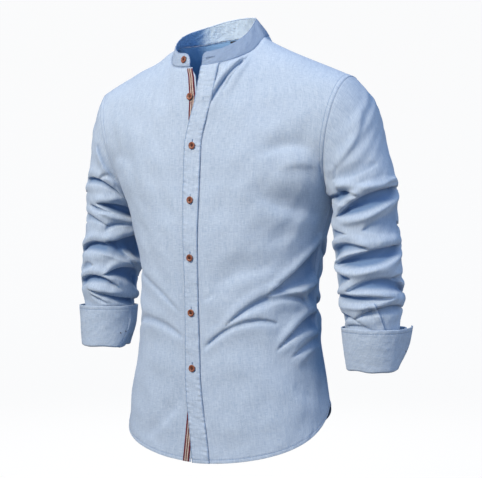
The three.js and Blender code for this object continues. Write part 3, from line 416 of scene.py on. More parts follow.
def pocket_depth(pockets, a, z, across):
    """Depth of the pockets: steep below the top curve, deepest at the peak, a roll along both curves."""
    a, z = np.broadcast_arrays(a, z)
    total = np.zeros(a.shape)
    for pocket in pockets:
        x0, x1, x2 = pocket.start[0], pocket.via[0], pocket.end[0]
        beyond = np.maximum(min(x0, x2) - a, a - max(x0, x2)) * across
        near = ((beyond < pocket.run) & (z < max(p[1] for p in pocket[:3]) + 25)
                & (z > min(p[2] for p in pocket[:3]) - 25))
        x = a[near]
        weights = ((x - x1) * (x - x2) / ((x0 - x1) * (x0 - x2)),
                   (x - x0) * (x - x2) / ((x1 - x0) * (x1 - x2)),
                   (x - x0) * (x - x1) / ((x2 - x0) * (x2 - x1)))
        top = sum(w * p[1] for w, p in zip(weights, pocket[:3]))
        gap = np.maximum(top - sum(w * p[2] for w, p in zip(weights, pocket[:3])), 0.4)
        down = (top - z[near]) / gap
        to_peak = np.where(down < pocket.peak, (pocket.peak - down) / pocket.peak,
                           (down - pocket.peak) / (1 - pocket.peak))
        hollow = 1 - np.clip(to_peak, 0, 1) ** 1.7
        lips = (0.8 * (1 - pocket.peak) * np.exp(-((down * gap + 7) / 8.5) ** 2)
                + 0.5 * pocket.peak * np.exp(-(((1 - down) * gap + 6) / 8) ** 2))
        reach = 1 - smooth(beyond[near], 0, pocket.run)
        strength = pocket.depth * np.minimum(gap / 8, 1) ** 0.7 * reach
        total[near] += strength * (lips - hollow)
    return total


def grid_normals(grid, around=False):
    if around:
        du = np.roll(grid, -1, 1) - np.roll(grid, 1, 1)
    else:
        du = np.gradient(grid, axis=1)
    dv = np.gradient(grid, axis=0)
    return unit(np.cross(du, dv))


def body_millimetres(w):
    """Half the width of a panel in a row, in millimetres."""
    w = np.asarray(w, float)
    low, high = np.clip(w, 0, 1), np.clip(w - 1, 0, 1)
    return PANEL["hem"] - PANEL["less_at_armpit"] * low - PANEL["less_at_top"] * high


def spread_at(w, column):
    """Where a front's centre line lies in a row, as a share of the panel."""
    level = body(np.zeros_like(w), w, True)[..., 2]
    return track(SPREAD, column, level) / body_millimetres(w)


def row_at(z):
    """Row w whose centre front lies at a height."""
    w = np.linspace(0, 2, 2001)
    return float(np.interp(z, body(np.zeros_like(w), w, True)[..., 2], w))


# Meshes from grids

def lengths_along(grid, axis):
    """Running length along one way of the grid, in millimetres."""
    step = np.linalg.norm(np.diff(grid, axis=axis), axis=-1)
    start = np.zeros_like(np.take(step, [0], axis=axis))
    return np.cumsum(np.concatenate([start, step], axis=axis), axis=axis)


def grid_faces(rows, cols, around=False, flip=False):
    i, j = np.meshgrid(np.arange(rows - 1), np.arange(cols if around else cols - 1), indexing="ij")
    right = (j + 1) % cols
    corners = (i * cols + j, i * cols + right, (i + 1) * cols + right, (i + 1) * cols + j)
    quads = np.stack(corners, -1).reshape(-1, 4)
    return quads[:, ::-1] if flip else quads


def mesh_object(name, verts, faces, facts=None, uv=None):
    """Object from vertices in millimetres, with point attributes and a UV map in millimetres."""
    mesh = bpy.data.meshes.new(name)
    mesh.from_pydata((np.asarray(verts, float) * MM).tolist(), [], [list(f) for f in faces])
    mesh.update()
    mesh.shade_smooth()
    for key, values in (facts or {}).items():
        layer = mesh.attributes.new(key, "FLOAT", "POINT")
        layer.data.foreach_set("value", np.asarray(values, np.float32).ravel())
    if uv is not None:
        loops = np.empty(len(mesh.loops), np.int32)
        mesh.loops.foreach_get("vertex_index", loops)
        flat = np.asarray(uv, np.float32).reshape(-1, 2)[loops]
        mesh.uv_layers.new(name="Cloth").data.foreach_set("uv", flat.ravel())
    obj = bpy.data.objects.new(name, mesh)
    bpy.context.scene.collection.objects.link(obj)
    return obj


def edge_distance(grid, around=False):
    """Distance of each point from the grid's nearest edge along its rows and columns."""
    down = lengths_along(grid, 0)
    edge = np.minimum(down, down[-1:] - down)
    if around:
        return edge
    across = lengths_along(grid, 1)
    return np.minimum(edge, np.minimum(across, across[:, -1:] - across))


def soft_strip(name, grid, normals, wall, radius, around, facts, uv):
    """Closed strip round a middle surface; its thickness falls to nothing in a round at the edges."""
    rows, cols = grid.shape[:2]
    share = np.clip(edge_distance(grid, around) / radius, 0, 1)
    half = (wall / 2 * rounded(share) + EDGE_HALF)[..., None]
    verts = np.concatenate([(grid + normals * half).reshape(-1, 3), (grid - normals * half).reshape(-1, 3)])
    count = rows * cols
    flip = float((grid_normals(grid, around) * normals).sum(-1).mean()) < 0
    faces = [*grid_faces(rows, cols, around, flip), *(grid_faces(rows, cols, around, not flip) + count)]
    rim = [(j, j + 1) for j in range(cols - 1)] + ([(cols - 1, 0)] if around else [])
    last = (rows - 1) * cols
    edges = [(k, j) for j, k in rim] + [(last + j, last + k) for j, k in rim]
    if not around:
        edges += [(i * cols, (i + 1) * cols) for i in range(rows - 1)]
        edges += [((i + 2) * cols - 1, (i + 1) * cols - 1) for i in range(rows - 1)]
    for a, c in edges:
        faces.append((c, a, a + count, c + count) if flip else (a, c, c + count, a + count))
    both = {key: np.tile(np.ravel(values), 2) for key, values in facts.items()}
    both["inside"] = np.repeat([0.0, 1.0], count)
    return mesh_object(name, verts, faces, both, np.tile(uv.reshape(-1, 2), (2, 1)))


def clustered(n, ends, length):
    """Shares from 0 to 1, close together near both ends, whose first steps are given in millimetres."""
    near = np.array(ends) / length
    return np.concatenate([near, np.linspace(near[-1], 1 - near[-1], n)[1:-1], 1 - near[::-1]])


def finish_piece(obj, nodes, material):
    obj.data.materials.append(material)
    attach(obj, "root")
    if nodes:
        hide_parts(*nodes)


def cloth_piece(name, node, material, grid, normals, layer, uv, facts=None, around=False):
    """One sewn piece: its strip, its flat cut, and the node of the solids that it stands for."""
    obj = soft_strip(name, grid, normals, *layer, around, facts or {}, uv)
    finish_piece(obj, [node], material)


# Materials

def node_group(name, inputs, outputs):
    """A new shader node group with its two ends, or the one made before, without ends."""
    group = bpy.data.node_groups.get(name)
    if group:
        return group, None, None
    group = bpy.data.node_groups.new(name, "ShaderNodeTree")
    for label, kind, value in inputs:
        socket = group.interface.new_socket(name=label, in_out="INPUT", socket_type=kind)
        if value is not None:
            socket.default_value = value
    for label in outputs:
        group.interface.new_socket(name=label, in_out="OUTPUT", socket_type="NodeSocketFloat")
    return group, group.nodes.new("NodeGroupInput"), group.nodes.new("NodeGroupOutput")


class Graph:
    """Short names for adding and linking shader nodes."""

    def __init__(self, tree):
        self.tree = tree

    def add(self, kind, **settings):
        node = self.tree.nodes.new(kind)
        for key, value in settings.items():
            setattr(node, key, value)
        return node

    def fill(self, node, values):
        """Links or sets each input named in the values, and gives the node's first output, if any."""
        for key, value in values.items():
            if isinstance(value, bpy.types.NodeSocket):
                self.tree.links.new(value, node.inputs[key])
            elif value is not None:
                node.inputs[key].default_value = value
        return node.outputs[0] if node.outputs else None

    def math(self, how, a, b=None):
        return self.fill(self.add("ShaderNodeMath", operation=how), {0: a, 1: b})

    def times(self, a, b):
        return self.math("MULTIPLY", a, b)

    def plus(self, a, b):
        return self.math("ADD", a, b)

    def less(self, a, b):
        return self.math("SUBTRACT", a, b)

    def wave(self, value, length):
        return self.math("SINE", self.times(value, 2 * np.pi / length))

    def stretched_noise(self, vector, scale, detail, rough):
        node = self.add("ShaderNodeMapping", vector_type="POINT")
        return self.noise(self.fill(node, {"Vector": vector, "Scale": scale}), 1.0, detail, rough)

    def noise(self, vector, scale, detail, rough):
        node = self.add("ShaderNodeTexNoise", noise_dimensions="3D")
        self.fill(node, {"Vector": vector, "Scale": scale, "Detail": detail, "Roughness": rough})
        return node.outputs["Fac"]

    def ramp(self, value, low, high, to_low=0.0, to_high=1.0):
        node = self.add("ShaderNodeMapRange", interpolation_type="SMOOTHSTEP")
        ends = {"From Min": low, "From Max": high, "To Min": to_low, "To Max": to_high}
        return self.fill(node, {"Value": value, **ends})

    def mix(self, factor, a, b):
        node = self.add("ShaderNodeMix", data_type="RGBA", blend_type="MIX")
        self.fill(node, {"Factor": factor, 6: a, 7: b})
        return node.outputs[2]

    def bump(self, height, distance, strength=1.0):
        node = self.add("ShaderNodeBump")
        return self.fill(node, {"Height": height, "Distance": distance, "Strength": strength})

    def attribute(self, name):
        return self.add("ShaderNodeAttribute", attribute_type="GEOMETRY", attribute_name=name).outputs["Fac"]

    def cloth(self):
        """The UV map in millimetres."""
        return self.add("ShaderNodeUVMap", uv_map="Cloth").outputs[0]

    def place(self):
        return self.add("ShaderNodeTexCoord").outputs["Object"]

    def parts(self, vector):
        node = self.add("ShaderNodeSeparateXYZ")
        self.fill(node, {0: vector})
        return node.outputs


def weave_group():
    """Plain weave with slubs: UV in millimetres in, thread tone and height out."""
    group, into, out = node_group("Linen weave", [("Cloth", "NodeSocketVector", None)], ("Tone", "Height"))
    if into is None:
        return group
    g = Graph(group)
    cloth = into.outputs[0]
    u, v = g.parts(cloth)[:2]
    across = g.stretched_noise(cloth, (0.11, 1.25, 1), 3, 0.6)
    along = g.stretched_noise(cloth, (1.25, 0.09, 1), 3, 0.6)
    long_slub = g.stretched_noise(cloth, (0.022, 0.42, 1), 2, 0.5)
    tall_slub = g.stretched_noise(cloth, (0.36, 0.016, 1), 2, 0.5)
    warp, weft = g.wave(u, 0.62), g.wave(v, 0.58)
    threads = g.plus(g.times(g.times(warp, weft), 0.5), g.times(g.plus(warp, weft), 0.25))
    slub = g.plus(g.times(across, 0.5), g.times(along, 0.5))
    coarse = g.plus(g.times(long_slub, 0.4), g.times(tall_slub, 0.6))
    tone = g.plus(slub, g.times(g.less(coarse, 0.5), 0.3))
    height = g.plus(g.times(threads, 0.10), g.times(slub, 0.38))
    g.fill(out, {0: tone, 1: height})
    return group


def stitch_group():
    """A row of stitches: distance from the edge and length along it in, thread mask and height out."""
    inputs = [("Distance", "NodeSocketFloat", 0.0), ("Along", "NodeSocketFloat", 0.0),
              ("Line", "NodeSocketFloat", 1.5), ("Pitch", "NodeSocketFloat", 2.8)]
    group, into, out = node_group("Stitch row", inputs, ("Thread", "Height"))
    if into is None:
        return group
    g = Graph(group)
    distance, along, place, pitch = into.outputs[:4]
    off = g.math("ABSOLUTE", g.less(distance, place))
    half = g.times(pitch, 0.5)
    beat = g.math("DIVIDE", g.math("PINGPONG", along, half), half)
    covered = g.ramp(beat, 0.16, 0.34)
    line = g.ramp(off, 0.75, 0.3)
    thread = g.times(line, covered)
    groove = g.ramp(off, 2.4, 0.3)
    hole = g.times(line, g.less(1.0, covered))
    height = g.less(g.times(thread, 0.22), g.times(groove, 0.34))
    g.fill(out, {0: thread, 1: g.less(height, g.times(hole, 0.25))})
    return group


# Stitch rows of each kind of piece: attribute of the distance, way of the UV along it, line in millimetres
STITCHES = {
    "panel": (("hem", "X", 6.0), ("arm", "Y", 1.2), ("arm", "Y", 7.6), ("top", "X", 1.6)),
    "placket": (("edge", "Y", 1.6), ("hem", "X", 6.0)),
    "collar": (("edge", "X", 1.6),),
    "cuff": (("edge", "X", 6.5), ("end", "Y", 3.0), ("end", "Y", 9.0)),
    "strip": (("edge", "Y", 1.4),),
    "plain": (),
}

# How much painted shade darkens the cloth in its pockets, and along its edges
POCKET_SHADE = {"panel": 0.6, "plain": 0.95}
EDGE_SHADE = {"placket": 0.6, "strip": 0.9, "collar": 0.35}

# How strongly each kind of piece is crumpled
CRUMPLE = {"panel": 0.9, "placket": 1.8, "collar": 1.8, "cuff": 2.1, "strip": 1.0, "plain": 0.9}

# Tints that the cloth is mixed with
TINTS = dict(
    faded=(0.62, 0.72, 0.88, 1),
    # painted shade on the collar's outer face
    collar=(0.175, 0.25, 0.385, 1),
    # the collar's inner band: first painted shadow, then a pale tone that is partly a paler lining and partly
    # painted light
    band_painted_shadow=(0.16, 0.33, 0.62, 1),
    band_pale_painted_light=(0.66, 0.83, 1.0, 1),
    # painted shade in the pockets
    hollow=(0.10, 0.188, 0.355, 1),
    # painted shade on the inner faces
    inside=(0.19, 0.41, 0.72, 1),
    # painted shade along the edges
    edge=(0.10, 0.17, 0.32, 1),
    sheen=(0.75, 0.85, 1.0, 1),
)


def new_material(name):
    """A new material with its graph and its Principled shader."""
    material = bpy.data.materials.new(name)
    material.use_nodes = True
    return material, Graph(material.node_tree), material.node_tree.nodes["Principled BSDF"]


def cloth_material(kind):
    """Woven cloth with its stitch rows, with painted shade in its pockets, on its inner faces and along its
    edges; the collar has painted shade on its outer face and painted shadow and light on its inner band.
    """
    name = "Cloth " + kind
    if name in bpy.data.materials:
        return bpy.data.materials[name]
    material, g, shader = new_material(name)
    uv, place = g.cloth(), g.place()
    weave = g.add("ShaderNodeGroup", node_tree=weave_group())
    tone = g.fill(weave, {0: uv})
    base = g.mix(g.ramp(tone, 0.36, 0.66), (*sizes().dark_cloth, 1), (*sizes().light_cloth, 1))
    base = g.mix(g.ramp(g.noise(place, 9.0, 3, 0.55), 0.3, 0.75, 0.0, 0.07), base, TINTS["faded"])
    crumple = g.times(g.ramp(g.noise(place, 55.0, 4, 0.6), 0.25, 0.8), CRUMPLE[kind])
    bumps = g.plus(g.times(weave.outputs["Height"], 0.55), crumple)
    ways = g.parts(uv)
    if kind == "collar":
        # Painted shade: the collar's outer face is darkened toward its tint, from 0.35 at 40 mm along it to
        # 0.85 from 160 mm on.
        base = g.mix(g.ramp(ways["X"], 40, 160, 0.35, 0.85), base, TINTS["collar"])
        # Inner band: painted shadow up to 158 mm along the collar, then a pale tone that is partly a paler
        # lining and partly painted light.
        inner_band_shade_and_light = g.mix(g.ramp(ways["X"], 158, 190), TINTS["band_painted_shadow"], TINTS["band_pale_painted_light"])
        base = g.mix(g.attribute("inside"), base, inner_band_shade_and_light)
    if kind in POCKET_SHADE:
        # Painted shade: darker and bluer in the pockets, by their depth.
        base = g.mix(g.times(g.attribute("hollow"), POCKET_SHADE[kind]), base, TINTS["hollow"])
        # Painted shade: the inner faces are tinted a deeper blue.
        base = g.mix(g.times(g.attribute("inside"), 0.8), base, TINTS["inside"])
    if kind in EDGE_SHADE:
        # Painted shade along the edges.
        base = g.mix(g.ramp(g.attribute("edge"), 1.7, 0.5, 0.0, EDGE_SHADE[kind]), base, TINTS["edge"])
    seam = None
    for distance, along, line in STITCHES[kind]:
        row = g.add("ShaderNodeGroup", node_tree=stitch_group())
        thread = g.fill(row, {"Distance": g.attribute(distance), "Along": ways[along], "Line": line,
                              "Pitch": sizes().stitch_pitch})
        bumps = g.plus(bumps, g.times(row.outputs["Height"], 3.0))
        seam = thread if seam is None else g.math("MAXIMUM", seam, thread)
    if seam is not None:
        base = g.mix(g.times(seam, 0.8), base, (*sizes().thread, 1))
    g.fill(shader, {
        "Base Color": base,
        "Roughness": g.ramp(tone, 0.25, 0.8, 0.92, 0.76),
        "Normal": g.bump(bumps, 0.00035, 0.8),
        "Sheen Weight": 0.25,
        "Sheen Roughness": 0.5,
        "Sheen Tint": TINTS["sheen"],
        "Specular IOR Level": 0.25,
    })
    return material


def tape_material():
    """Ribbed tape with stripes along it, from its centre line."""
    material, g, shader = new_material("Striped tape")
    across, along = g.parts(g.cloth())[:2]
    share = g.plus(g.math("DIVIDE", across, 2.0 * TAPE["half"]), 0.5)
    ramp = g.add("ShaderNodeValToRGB")
    ramp.color_ramp.interpolation = "CONSTANT"
    maroon, cream, brown = (0.17, 0.012, 0.035, 1), (0.72, 0.62, 0.56, 1), (0.16, 0.04, 0.035, 1)
    elements = ramp.color_ramp.elements
    elements[0].color = maroon
    elements[1].position, elements[1].color = 0.24, cream
    for place, colour in ((0.42, brown), (0.58, cream), (0.74, maroon)):
        elements.new(place).color = colour
    stripes = g.fill(ramp, {0: share})
    rib = g.wave(along, 0.8)
    g.fill(shader, {
        "Base Color": g.mix(g.ramp(rib, -1, 1, 0.0, 0.35), stripes, (0.02, 0.01, 0.01, 1)),
        "Roughness": 0.75,
        "Normal": g.bump(rib, 0.0002),
    })
    return material


def button_material():
    """Brown half gloss with fine grain and paler streaks, darker in the middle."""
    material, g, shader = new_material("Button")
    place = g.place()
    grain = g.stretched_noise(place, (900, 900, 260), 3, 0.6)
    streak = g.stretched_noise(place, (300, 300, 1400), 2, 0.5)
    base = g.mix(g.ramp(grain, 0.3, 0.7), (0.11, 0.030, 0.015, 1), (0.29, 0.10, 0.05, 1))
    base = g.mix(g.ramp(streak, 0.5, 0.8, 0, 0.4), base, (0.45, 0.20, 0.11, 1))
    base = g.mix(g.ramp(g.attribute("middle"), 0, 1, 0.0, 0.75), base, (0.035, 0.012, 0.008, 1))
    rough = g.ramp(grain, 0.2, 0.8, 0.28, 0.45)
    g.fill(shader, {"Base Color": base, "Roughness": rough, "Normal": g.bump(grain, 0.00008)})
    return material


def thread_material(name, colour):
    """Twisted thread of two tones of one colour."""
    material, g, shader = new_material(name)
    twist = g.stretched_noise(g.place(), (2500, 2500, 2500), 2, 0.5)
    darker = tuple(0.6 * c for c in colour)
    base = g.mix(g.ramp(twist, 0.3, 0.7), (*darker, 1), (*colour, 1))
    g.fill(shader, {"Base Color": base, "Roughness": 0.7, "Normal": g.bump(twist, 0.0001)})
    return material


def label_material():
    """Plain black ribbed label."""
    material, g, shader = new_material("Label")
    rib = g.wave(g.parts(g.cloth())[1], 0.5)
    base = g.mix(g.ramp(rib, -1, 1), (0.008, 0.008, 0.010, 1), (0.02, 0.02, 0.024, 1))
    g.fill(shader, {"Base Color": base, "Roughness": 0.6, "Normal": g.bump(rib, 0.0001)})
    return material


# Surfaces of the pieces

WAVES = 14  # how many waves are added up in a rippled surface
EASED = dict(half=0.09, rows=120, columns=90)


def waves(a, b, seed, size):
    """Sum of slow waves in seeded directions, from about -1 to 1; size is the usual wavelength."""
    rng = np.random.default_rng(seed)
    total = np.zeros(np.broadcast(a, b).shape)
    for _ in range(WAVES):
        angle, phase = rng.uniform(0, 2 * np.pi, 2)
        length = size * rng.uniform(0.6, 1.7)
        total += np.sin(2 * np.pi * (a * np.cos(angle) + b * np.sin(angle)) / length + phase)
    return total / np.sqrt(WAVES)


def relaxed(p, near, times):
    """Draws each row toward its two neighbours some times over, as strongly as near says."""
    p = p.copy()
    for _ in range(times):
        p[1:-1] += near * (0.25 * p[:-2] + 0.25 * p[2:] - 0.5 * p[1:-1])
    return p


def dropped(p):
    """The neck sits lower on the wearer's right."""
    x = -p[..., 0]
    across = smooth(x, *DROP["inner"]) * (1 - smooth(x, *DROP["outer"]))
    p = p.copy()
    p[..., 2] -= DROP["by"] * across * smooth(p[..., 2], *DROP["rise"]) * (x > 0)
    return p


def mirrored(p, n, s):
    """The wearer's right front, from a surface built on the left: a little wider below the waist."""
    p = p * (-1, 1, 1)
    p[..., 0] *= np.where(s > 0, hip_width(p[..., 2]), 1)
    return dropped(p), n * (-1, 1, 1)


def eased(p, s, w):
    """Takes out the slight bend at the armpit level and the one that runs down from the neck curve's end."""
    p = relaxed(p, np.exp(-((w[1:-1] - 1) / EASED["half"]) ** 2)[..., None], EASED["rows"])
    near = np.exp(-((np.abs(s) - NECK_SHARE) / EASED["half"]) ** 2)
    near = near * smooth(w, 1, 1.15) * smooth(2 - w, 0, 0.3)
    return relaxed(p.swapaxes(0, 1), near.T[1:-1, :, None], EASED["columns"]).swapaxes(0, 1)


def folded_body(s, w, front, folds=(), pockets=(), sink=0.0):
    """The panel's surface moved along its normal by its creases, pockets and slow waves, less at the seams.

    Gives points, normals and how deep in a pocket each point lies, from 0 to 1, which sets the painted shade
    in the pockets.
    """
    p = eased(body(s, w, front), s, w)
    n = grid_normals(p) * (1 if front else -1)
    a = np.abs(s)
    mm = body_millimetres(w)
    z = p[..., 2]
    clear = smooth(a * mm, 14, 44) if front else 1.0
    fade = clear * smooth(1 - a, 0, 0.06) * smooth(w, 0, 0.06) * smooth(2 - w, 0, 0.08)
    place = a if front else s
    sunk = pocket_depth(pockets, place, z, mm)
    edge = smooth(1 - a, 0, 0.03) * smooth(2 - w, 0, 0.03)
    ripple = 0.7 * waves(s * mm, z, 5 if front else 6, 70)
    d = fold_depth(folds, place, z, mm) + sunk + ripple + 0.1 * waves(s * mm, z, 8, 22) * edge
    p = p + n * (d * fade - sink)[..., None]
    p[..., 2] += OVERHANG * np.maximum(-sunk, 0) * fade
    return p, n, np.clip(-sunk / DEEP, 0, 1) * fade


def sleeve(phi, q, right):
    """Rings along a bent centre line; near the armhole they turn into the armhole's own curve."""
    phi, q = np.broadcast_arrays(phi, q)
    x, y, z, lean, out, fore, shift, lift = (track(RINGS, k, q) for k in range(1, 9))
    lean = np.radians(lean)
    c, s = np.cos(np.radians(phi)), np.sin(np.radians(phi))
    centre = points(x + (shift if right else 0), y, z + (lift if right else 0))
    ring = points(np.sin(lean) * out * c, -fore * s, np.cos(lean) * out * c)
    _, x0, y0, z0, lean0, out0, fore0, *_ = RINGS[0]
    lean0 = np.radians(lean0)
    start = points(x0 + np.sin(lean0) * out0 * c, y0 - fore0 * s, z0 + np.cos(lean0) * out0 * c)
    return centre + ring + (armhole(phi) - start) * (1 - smooth(q, 0, 0.1))[..., None]


def folded_sleeve(phi, q, right):
    """The sleeve's surface moved along its normal by creases, pockets and slow waves, less at both ends; also
    gives how deep in a pocket each point lies, which sets the painted shade.
    """
    folds, pockets = ((FOLDS_SLEEVE_RIGHT, POCKETS_SLEEVE_RIGHT) if right
                      else (FOLDS_SLEEVE_LEFT, POCKETS_SLEEVE_LEFT))
    p = sleeve(phi, q, right)
    n = grid_normals(p, True)
    turned = np.where(phi > SLEEVE_TURN, phi - 360, phi)
    fade = smooth(q, 0.01, 0.1) * smooth(0.9 - q, 0, 0.06)
    z = p[..., 2]
    sunk = sum(pocket_depth(pockets, turned + turn, z, DEGREE) for turn in (0, 360, -360))
    d = sunk + sum(fold_depth(folds, turned + turn, z, DEGREE) for turn in (0, 360, -360))
    angle = np.radians(phi)
    ripple = 0.5 * waves(60 * np.cos(angle), z + 60 * np.sin(angle), 21 if right else 20, 34)
    p = p + n * ((d + ripple - 1.0) * fade)[..., None]
    p[..., 2] += OVERHANG * np.maximum(-sunk, 0) * fade
    n = grid_normals(p, True)
    if right:
        p, n = p * (-1, 1, 1), n * (-1, 1, 1)
    return p, n, np.clip(-sunk / DEEP, 0, 1) * fade


def panel_rows():
    """Rows of a panel, close together at the hem, the armpit level and the top edge."""
    low = clustered(146, (0, 0.3, 0.8, 1.6), 400)[:-3]
    high = 1 + clustered(73, (0, 0.6, 1.4), 250)[1:]
    return np.unique(np.round(np.concatenate([low, high]), 6))


def right_sink(s, w):
    """How far the right front lies under the placket: fully near its edge, then less and less."""
    off = (s - spread_at(w, 2)) * body_millimetres(w)
    return PLACKET["sink"] * (1 - smooth(off, PLACKET["half"] + 4, 2.6 * PLACKET["half"]))


def front_grid(right):
    """A front panel; its first columns follow its spreading edge, which wanders a little near the neck."""
    w = panel_rows()
    level = body(0 * w, w, True)[..., 2]
    edge = PLACKET["left_start"]
    if right:
        edge = -PLACKET["underlap"] - 4 * smooth(level, -160, -110) + 7 * smooth(level, -68, -52)
    c = clustered(108, (0, 0.3, 0.8, 1.5, 3), PANEL["hem"])
    start = (edge / body_millimetres(w) + spread_at(w, 2 if right else 1))[:, None]
    s = np.where(c <= NECK_SHARE, start + (NECK_SHARE - start) * c / NECK_SHARE, c)
    w = np.broadcast_to(w[:, None], s.shape)
    if not right:
        p, n, hollow = folded_body(s, w, True, FOLDS_LEFT, POCKETS_LEFT)
        return p, n, w, hollow
    p, n, hollow = folded_body(s, w, True, FOLDS_RIGHT, POCKETS_RIGHT, right_sink(s, w))
    return *mirrored(p, n, s), w, hollow


def back_grid():
    """The back, from its right side seam to its left one."""
    s, w = np.meshgrid(clustered(154, (0, 0.3, 0.8, 1.5, 3), 2 * PANEL["hem"]) * 2 - 1, panel_rows())
    p, n, hollow = folded_body(s, w, False, FOLDS_BACK, POCKETS_BACK)
    return dropped(p), n, w, hollow


def cloth_uv(p, w):
    """Cloth millimetres: across from the first column, up from the armpit level."""
    v = lengths_along(p, 0)
    level = int(np.argmin(np.abs(w[:, 0] - 1)))
    return np.stack([lengths_along(p, 1), v - v[level] + ARMPIT_Z], -1)


def panel_facts(p, both_sides):
    """Distances from the hem, the side or armhole edge, and the top edge, in millimetres."""
    up = lengths_along(p, 0)
    across = lengths_along(p, 1)
    arm = across[:, -1:] - across
    if both_sides:
        arm = np.minimum(across, arm)
    return {"hem": up, "arm": arm, "top": up[-1:] - up}


def collar_base():
    """Neck seam from the right front's end over the back to the placket's free edge."""
    right = np.linspace(float(spread_at(2.0, 2)), NECK_SHARE, 200)
    back = np.linspace(-NECK_SHARE, NECK_SHARE, 400)
    start = -PLACKET["half"] / float(body_millimetres(2.0)) + float(spread_at(2.0, 1))
    left = np.linspace(NECK_SHARE, start, 220)
    first = body(right, 2.0, True) * (-1, 1, 1)
    first[:, 1] += right_sink(right, 2.0)
    line = np.concatenate([dropped(first), dropped(body(back, 2.0, False))[1:], body(left, 2.0, True)[1:]])
    run = np.concatenate([[0], np.cumsum(np.linalg.norm(np.diff(line, axis=0), axis=1))])
    at = clustered(260, (0, 0.15, 0.4, 0.8, 1.4, 2.2, 3.2, 4.5, 6, 8), run[-1]) * run[-1]
    base = np.stack([np.interp(at, run, line[:, k]) for k in range(3)], -1)
    base[12:-12] = relaxed(base, 1, 7)[12:-12]
    return base, at, run[-1]


def collar_grid():
    """Outer face of the stand collar: base points raised and leaned inward; both ends have round corners."""
    base, at, whole = collar_base()
    share = clustered(30, (0, 0.15, 0.5, 1.0, 1.7), 30)[:, None]
    out = unit(points(base[:, 0] / NECK["half"] ** 2, (base[:, 1] - NECK["y"]) / NECK["depth"] ** 2, 0))
    side = np.where(out[:, 0] < 0, COLLAR["side_right"], COLLAR["side_left"])
    mid = np.where(out[:, 1] < 0, COLLAR["front"], COLLAR["back"])
    tall = mid + (side - mid) * out[:, 0] ** 2
    tall = tall - 8 * (1 - rounded(np.clip((whole - at) / COLLAR["left_round"], 0, 1)))
    tall = tall * (0.15 + 0.85 * rounded(np.clip(at / COLLAR["right_round"], 0, 1)))
    toward_left = 0.857 * out[:, 0] + 0.515 * out[:, 1]
    lean = (COLLAR["lean"] + COLLAR["lean_more"] * toward_left) * tall / COLLAR["side_left"]
    rim = base - out * lean[:, None] + points(0, 0, 1) * tall[:, None]
    away = smooth(np.minimum(at, whole - at), 25, 60)[:, None]
    shift = (relaxed(rim, 1, 260) - rim) * away
    grid = (base[None] - out[None] * (lean * share ** 1.2)[..., None]
            + points(0, 0, 1) * (tall * share)[..., None] + shift[None] * share[..., None] ** 1.2)
    return grid, at


def placket_grid():
    """The left front's surface under the buttonhole band."""
    mm = clustered(25, (0, 0.2, 0.5, 1.0, 1.7), 32) * 2 * PLACKET["half"] - PLACKET["half"]
    mm, w = np.meshgrid(mm, clustered(380, (0, 0.2, 0.5, 1.0), 640) * PLACKET["top"])
    p = body(mm / body_millimetres(w) + spread_at(w, 1), w, True)
    return p, grid_normals(p), mm


def tape_grid():
    """The right front near its edge, in a band that wanders a little near the neck."""
    mm, w = np.meshgrid(clustered(13, (0, 0.2, 0.5), 12) * 2 * TAPE["half"] - TAPE["half"],
                        clustered(400, (0, 0.3), 640) * TAPE["top"])
    level = body(0 * w, w, True)[..., 2]
    bend = 1.2 * np.exp(-((level + 140) / 14) ** 2) + 3 * smooth(level, -70, -52)
    s = (mm - 4 * smooth(level, -132, -96) + bend) / body_millimetres(w) + spread_at(w, 2)
    p, n, _ = folded_body(s, w, True, sink=PLACKET["sink"])
    return *mirrored(p, n, s), mm


def cuff_grid(cuff):
    """A band turned up over the sleeve's end, lapped over its own beginning, with its lower edge turned in.

    The radius runs evenly from the top's to the bottom's, less a spiral that keeps the lap apart.
    One end flares, and a bell round one side of the lower part is tucked in.
    """
    bend = CUFF["bend"]
    profile = [(share, 0.0, 0.0) for share in clustered(34, (0, 0.2, 0.6, 1.2, 2), 66)]
    for turn in np.radians(np.linspace(0, 90, 9))[1:]:
        profile.append((1.0, bend * (1 - np.cos(turn)), bend * np.sin(turn)))
    profile += [(1.0, 6.5, bend), (1.0, 8.5, bend - 0.4), (1.0, CUFF["lip"], bend - 1.0)]
    share, inward, fall = (np.array(v)[:, None] for v in zip(*profile))
    u = clustered(240, (0, 0.2, 0.6, 1.2, 2), 330)[None]
    cut = cuff["cut"] * np.clip(share - 0.3, 0, 1) ** 2.4 * 1.5 * (1 - smooth(u, 0, 0.25))
    phi = np.radians(cuff["end"] + cuff["turn"] * (u * (360 + CUFF["lap"]) + cut))
    opened = cuff["flare"] * (1 - smooth(u, 0, 0.12)) * (1 - 0.8 * share ** 2.5)
    radius = cuff["top"] + (cuff["bottom"] - cuff["top"]) * share - CUFF["spiral"] * u + opened - inward
    z = cuff["high"] + (cuff["low"] - cuff["high"]) * share - fall + 0.3 * opened
    turned = np.degrees(phi) - cuff["tucked"]
    turned = turned - 360 * np.round(turned / 360)
    radius = radius - cuff["tuck"] * (np.clip(share - 0.35, 0, 1) / 0.65) ** 2 * np.exp(-(turned / 36) ** 2)
    seed = 31 if cuff["side"] > 0 else 32
    across = np.degrees(phi) * 0.9
    radius = radius + 1.1 * waves(across, z, seed, 60) * (1 - share * 0.6) * smooth(u, 0, 0.03)
    radius = radius + 0.16 * waves(across * 0.6, z, seed + 2, 14) * smooth(u, 0, 0.01)
    z = z + 0.9 * waves(across, 0 * z, seed + 4, 70) * (share + 0.2)
    x = cuff["side"] * (cuff["x"] + radius * np.cos(phi))
    grid = points(x, cuff["y"] - radius * cuff["round"] * np.sin(phi), z)
    return grid, u + 0 * share, share + 0 * u


# Sizes and operators

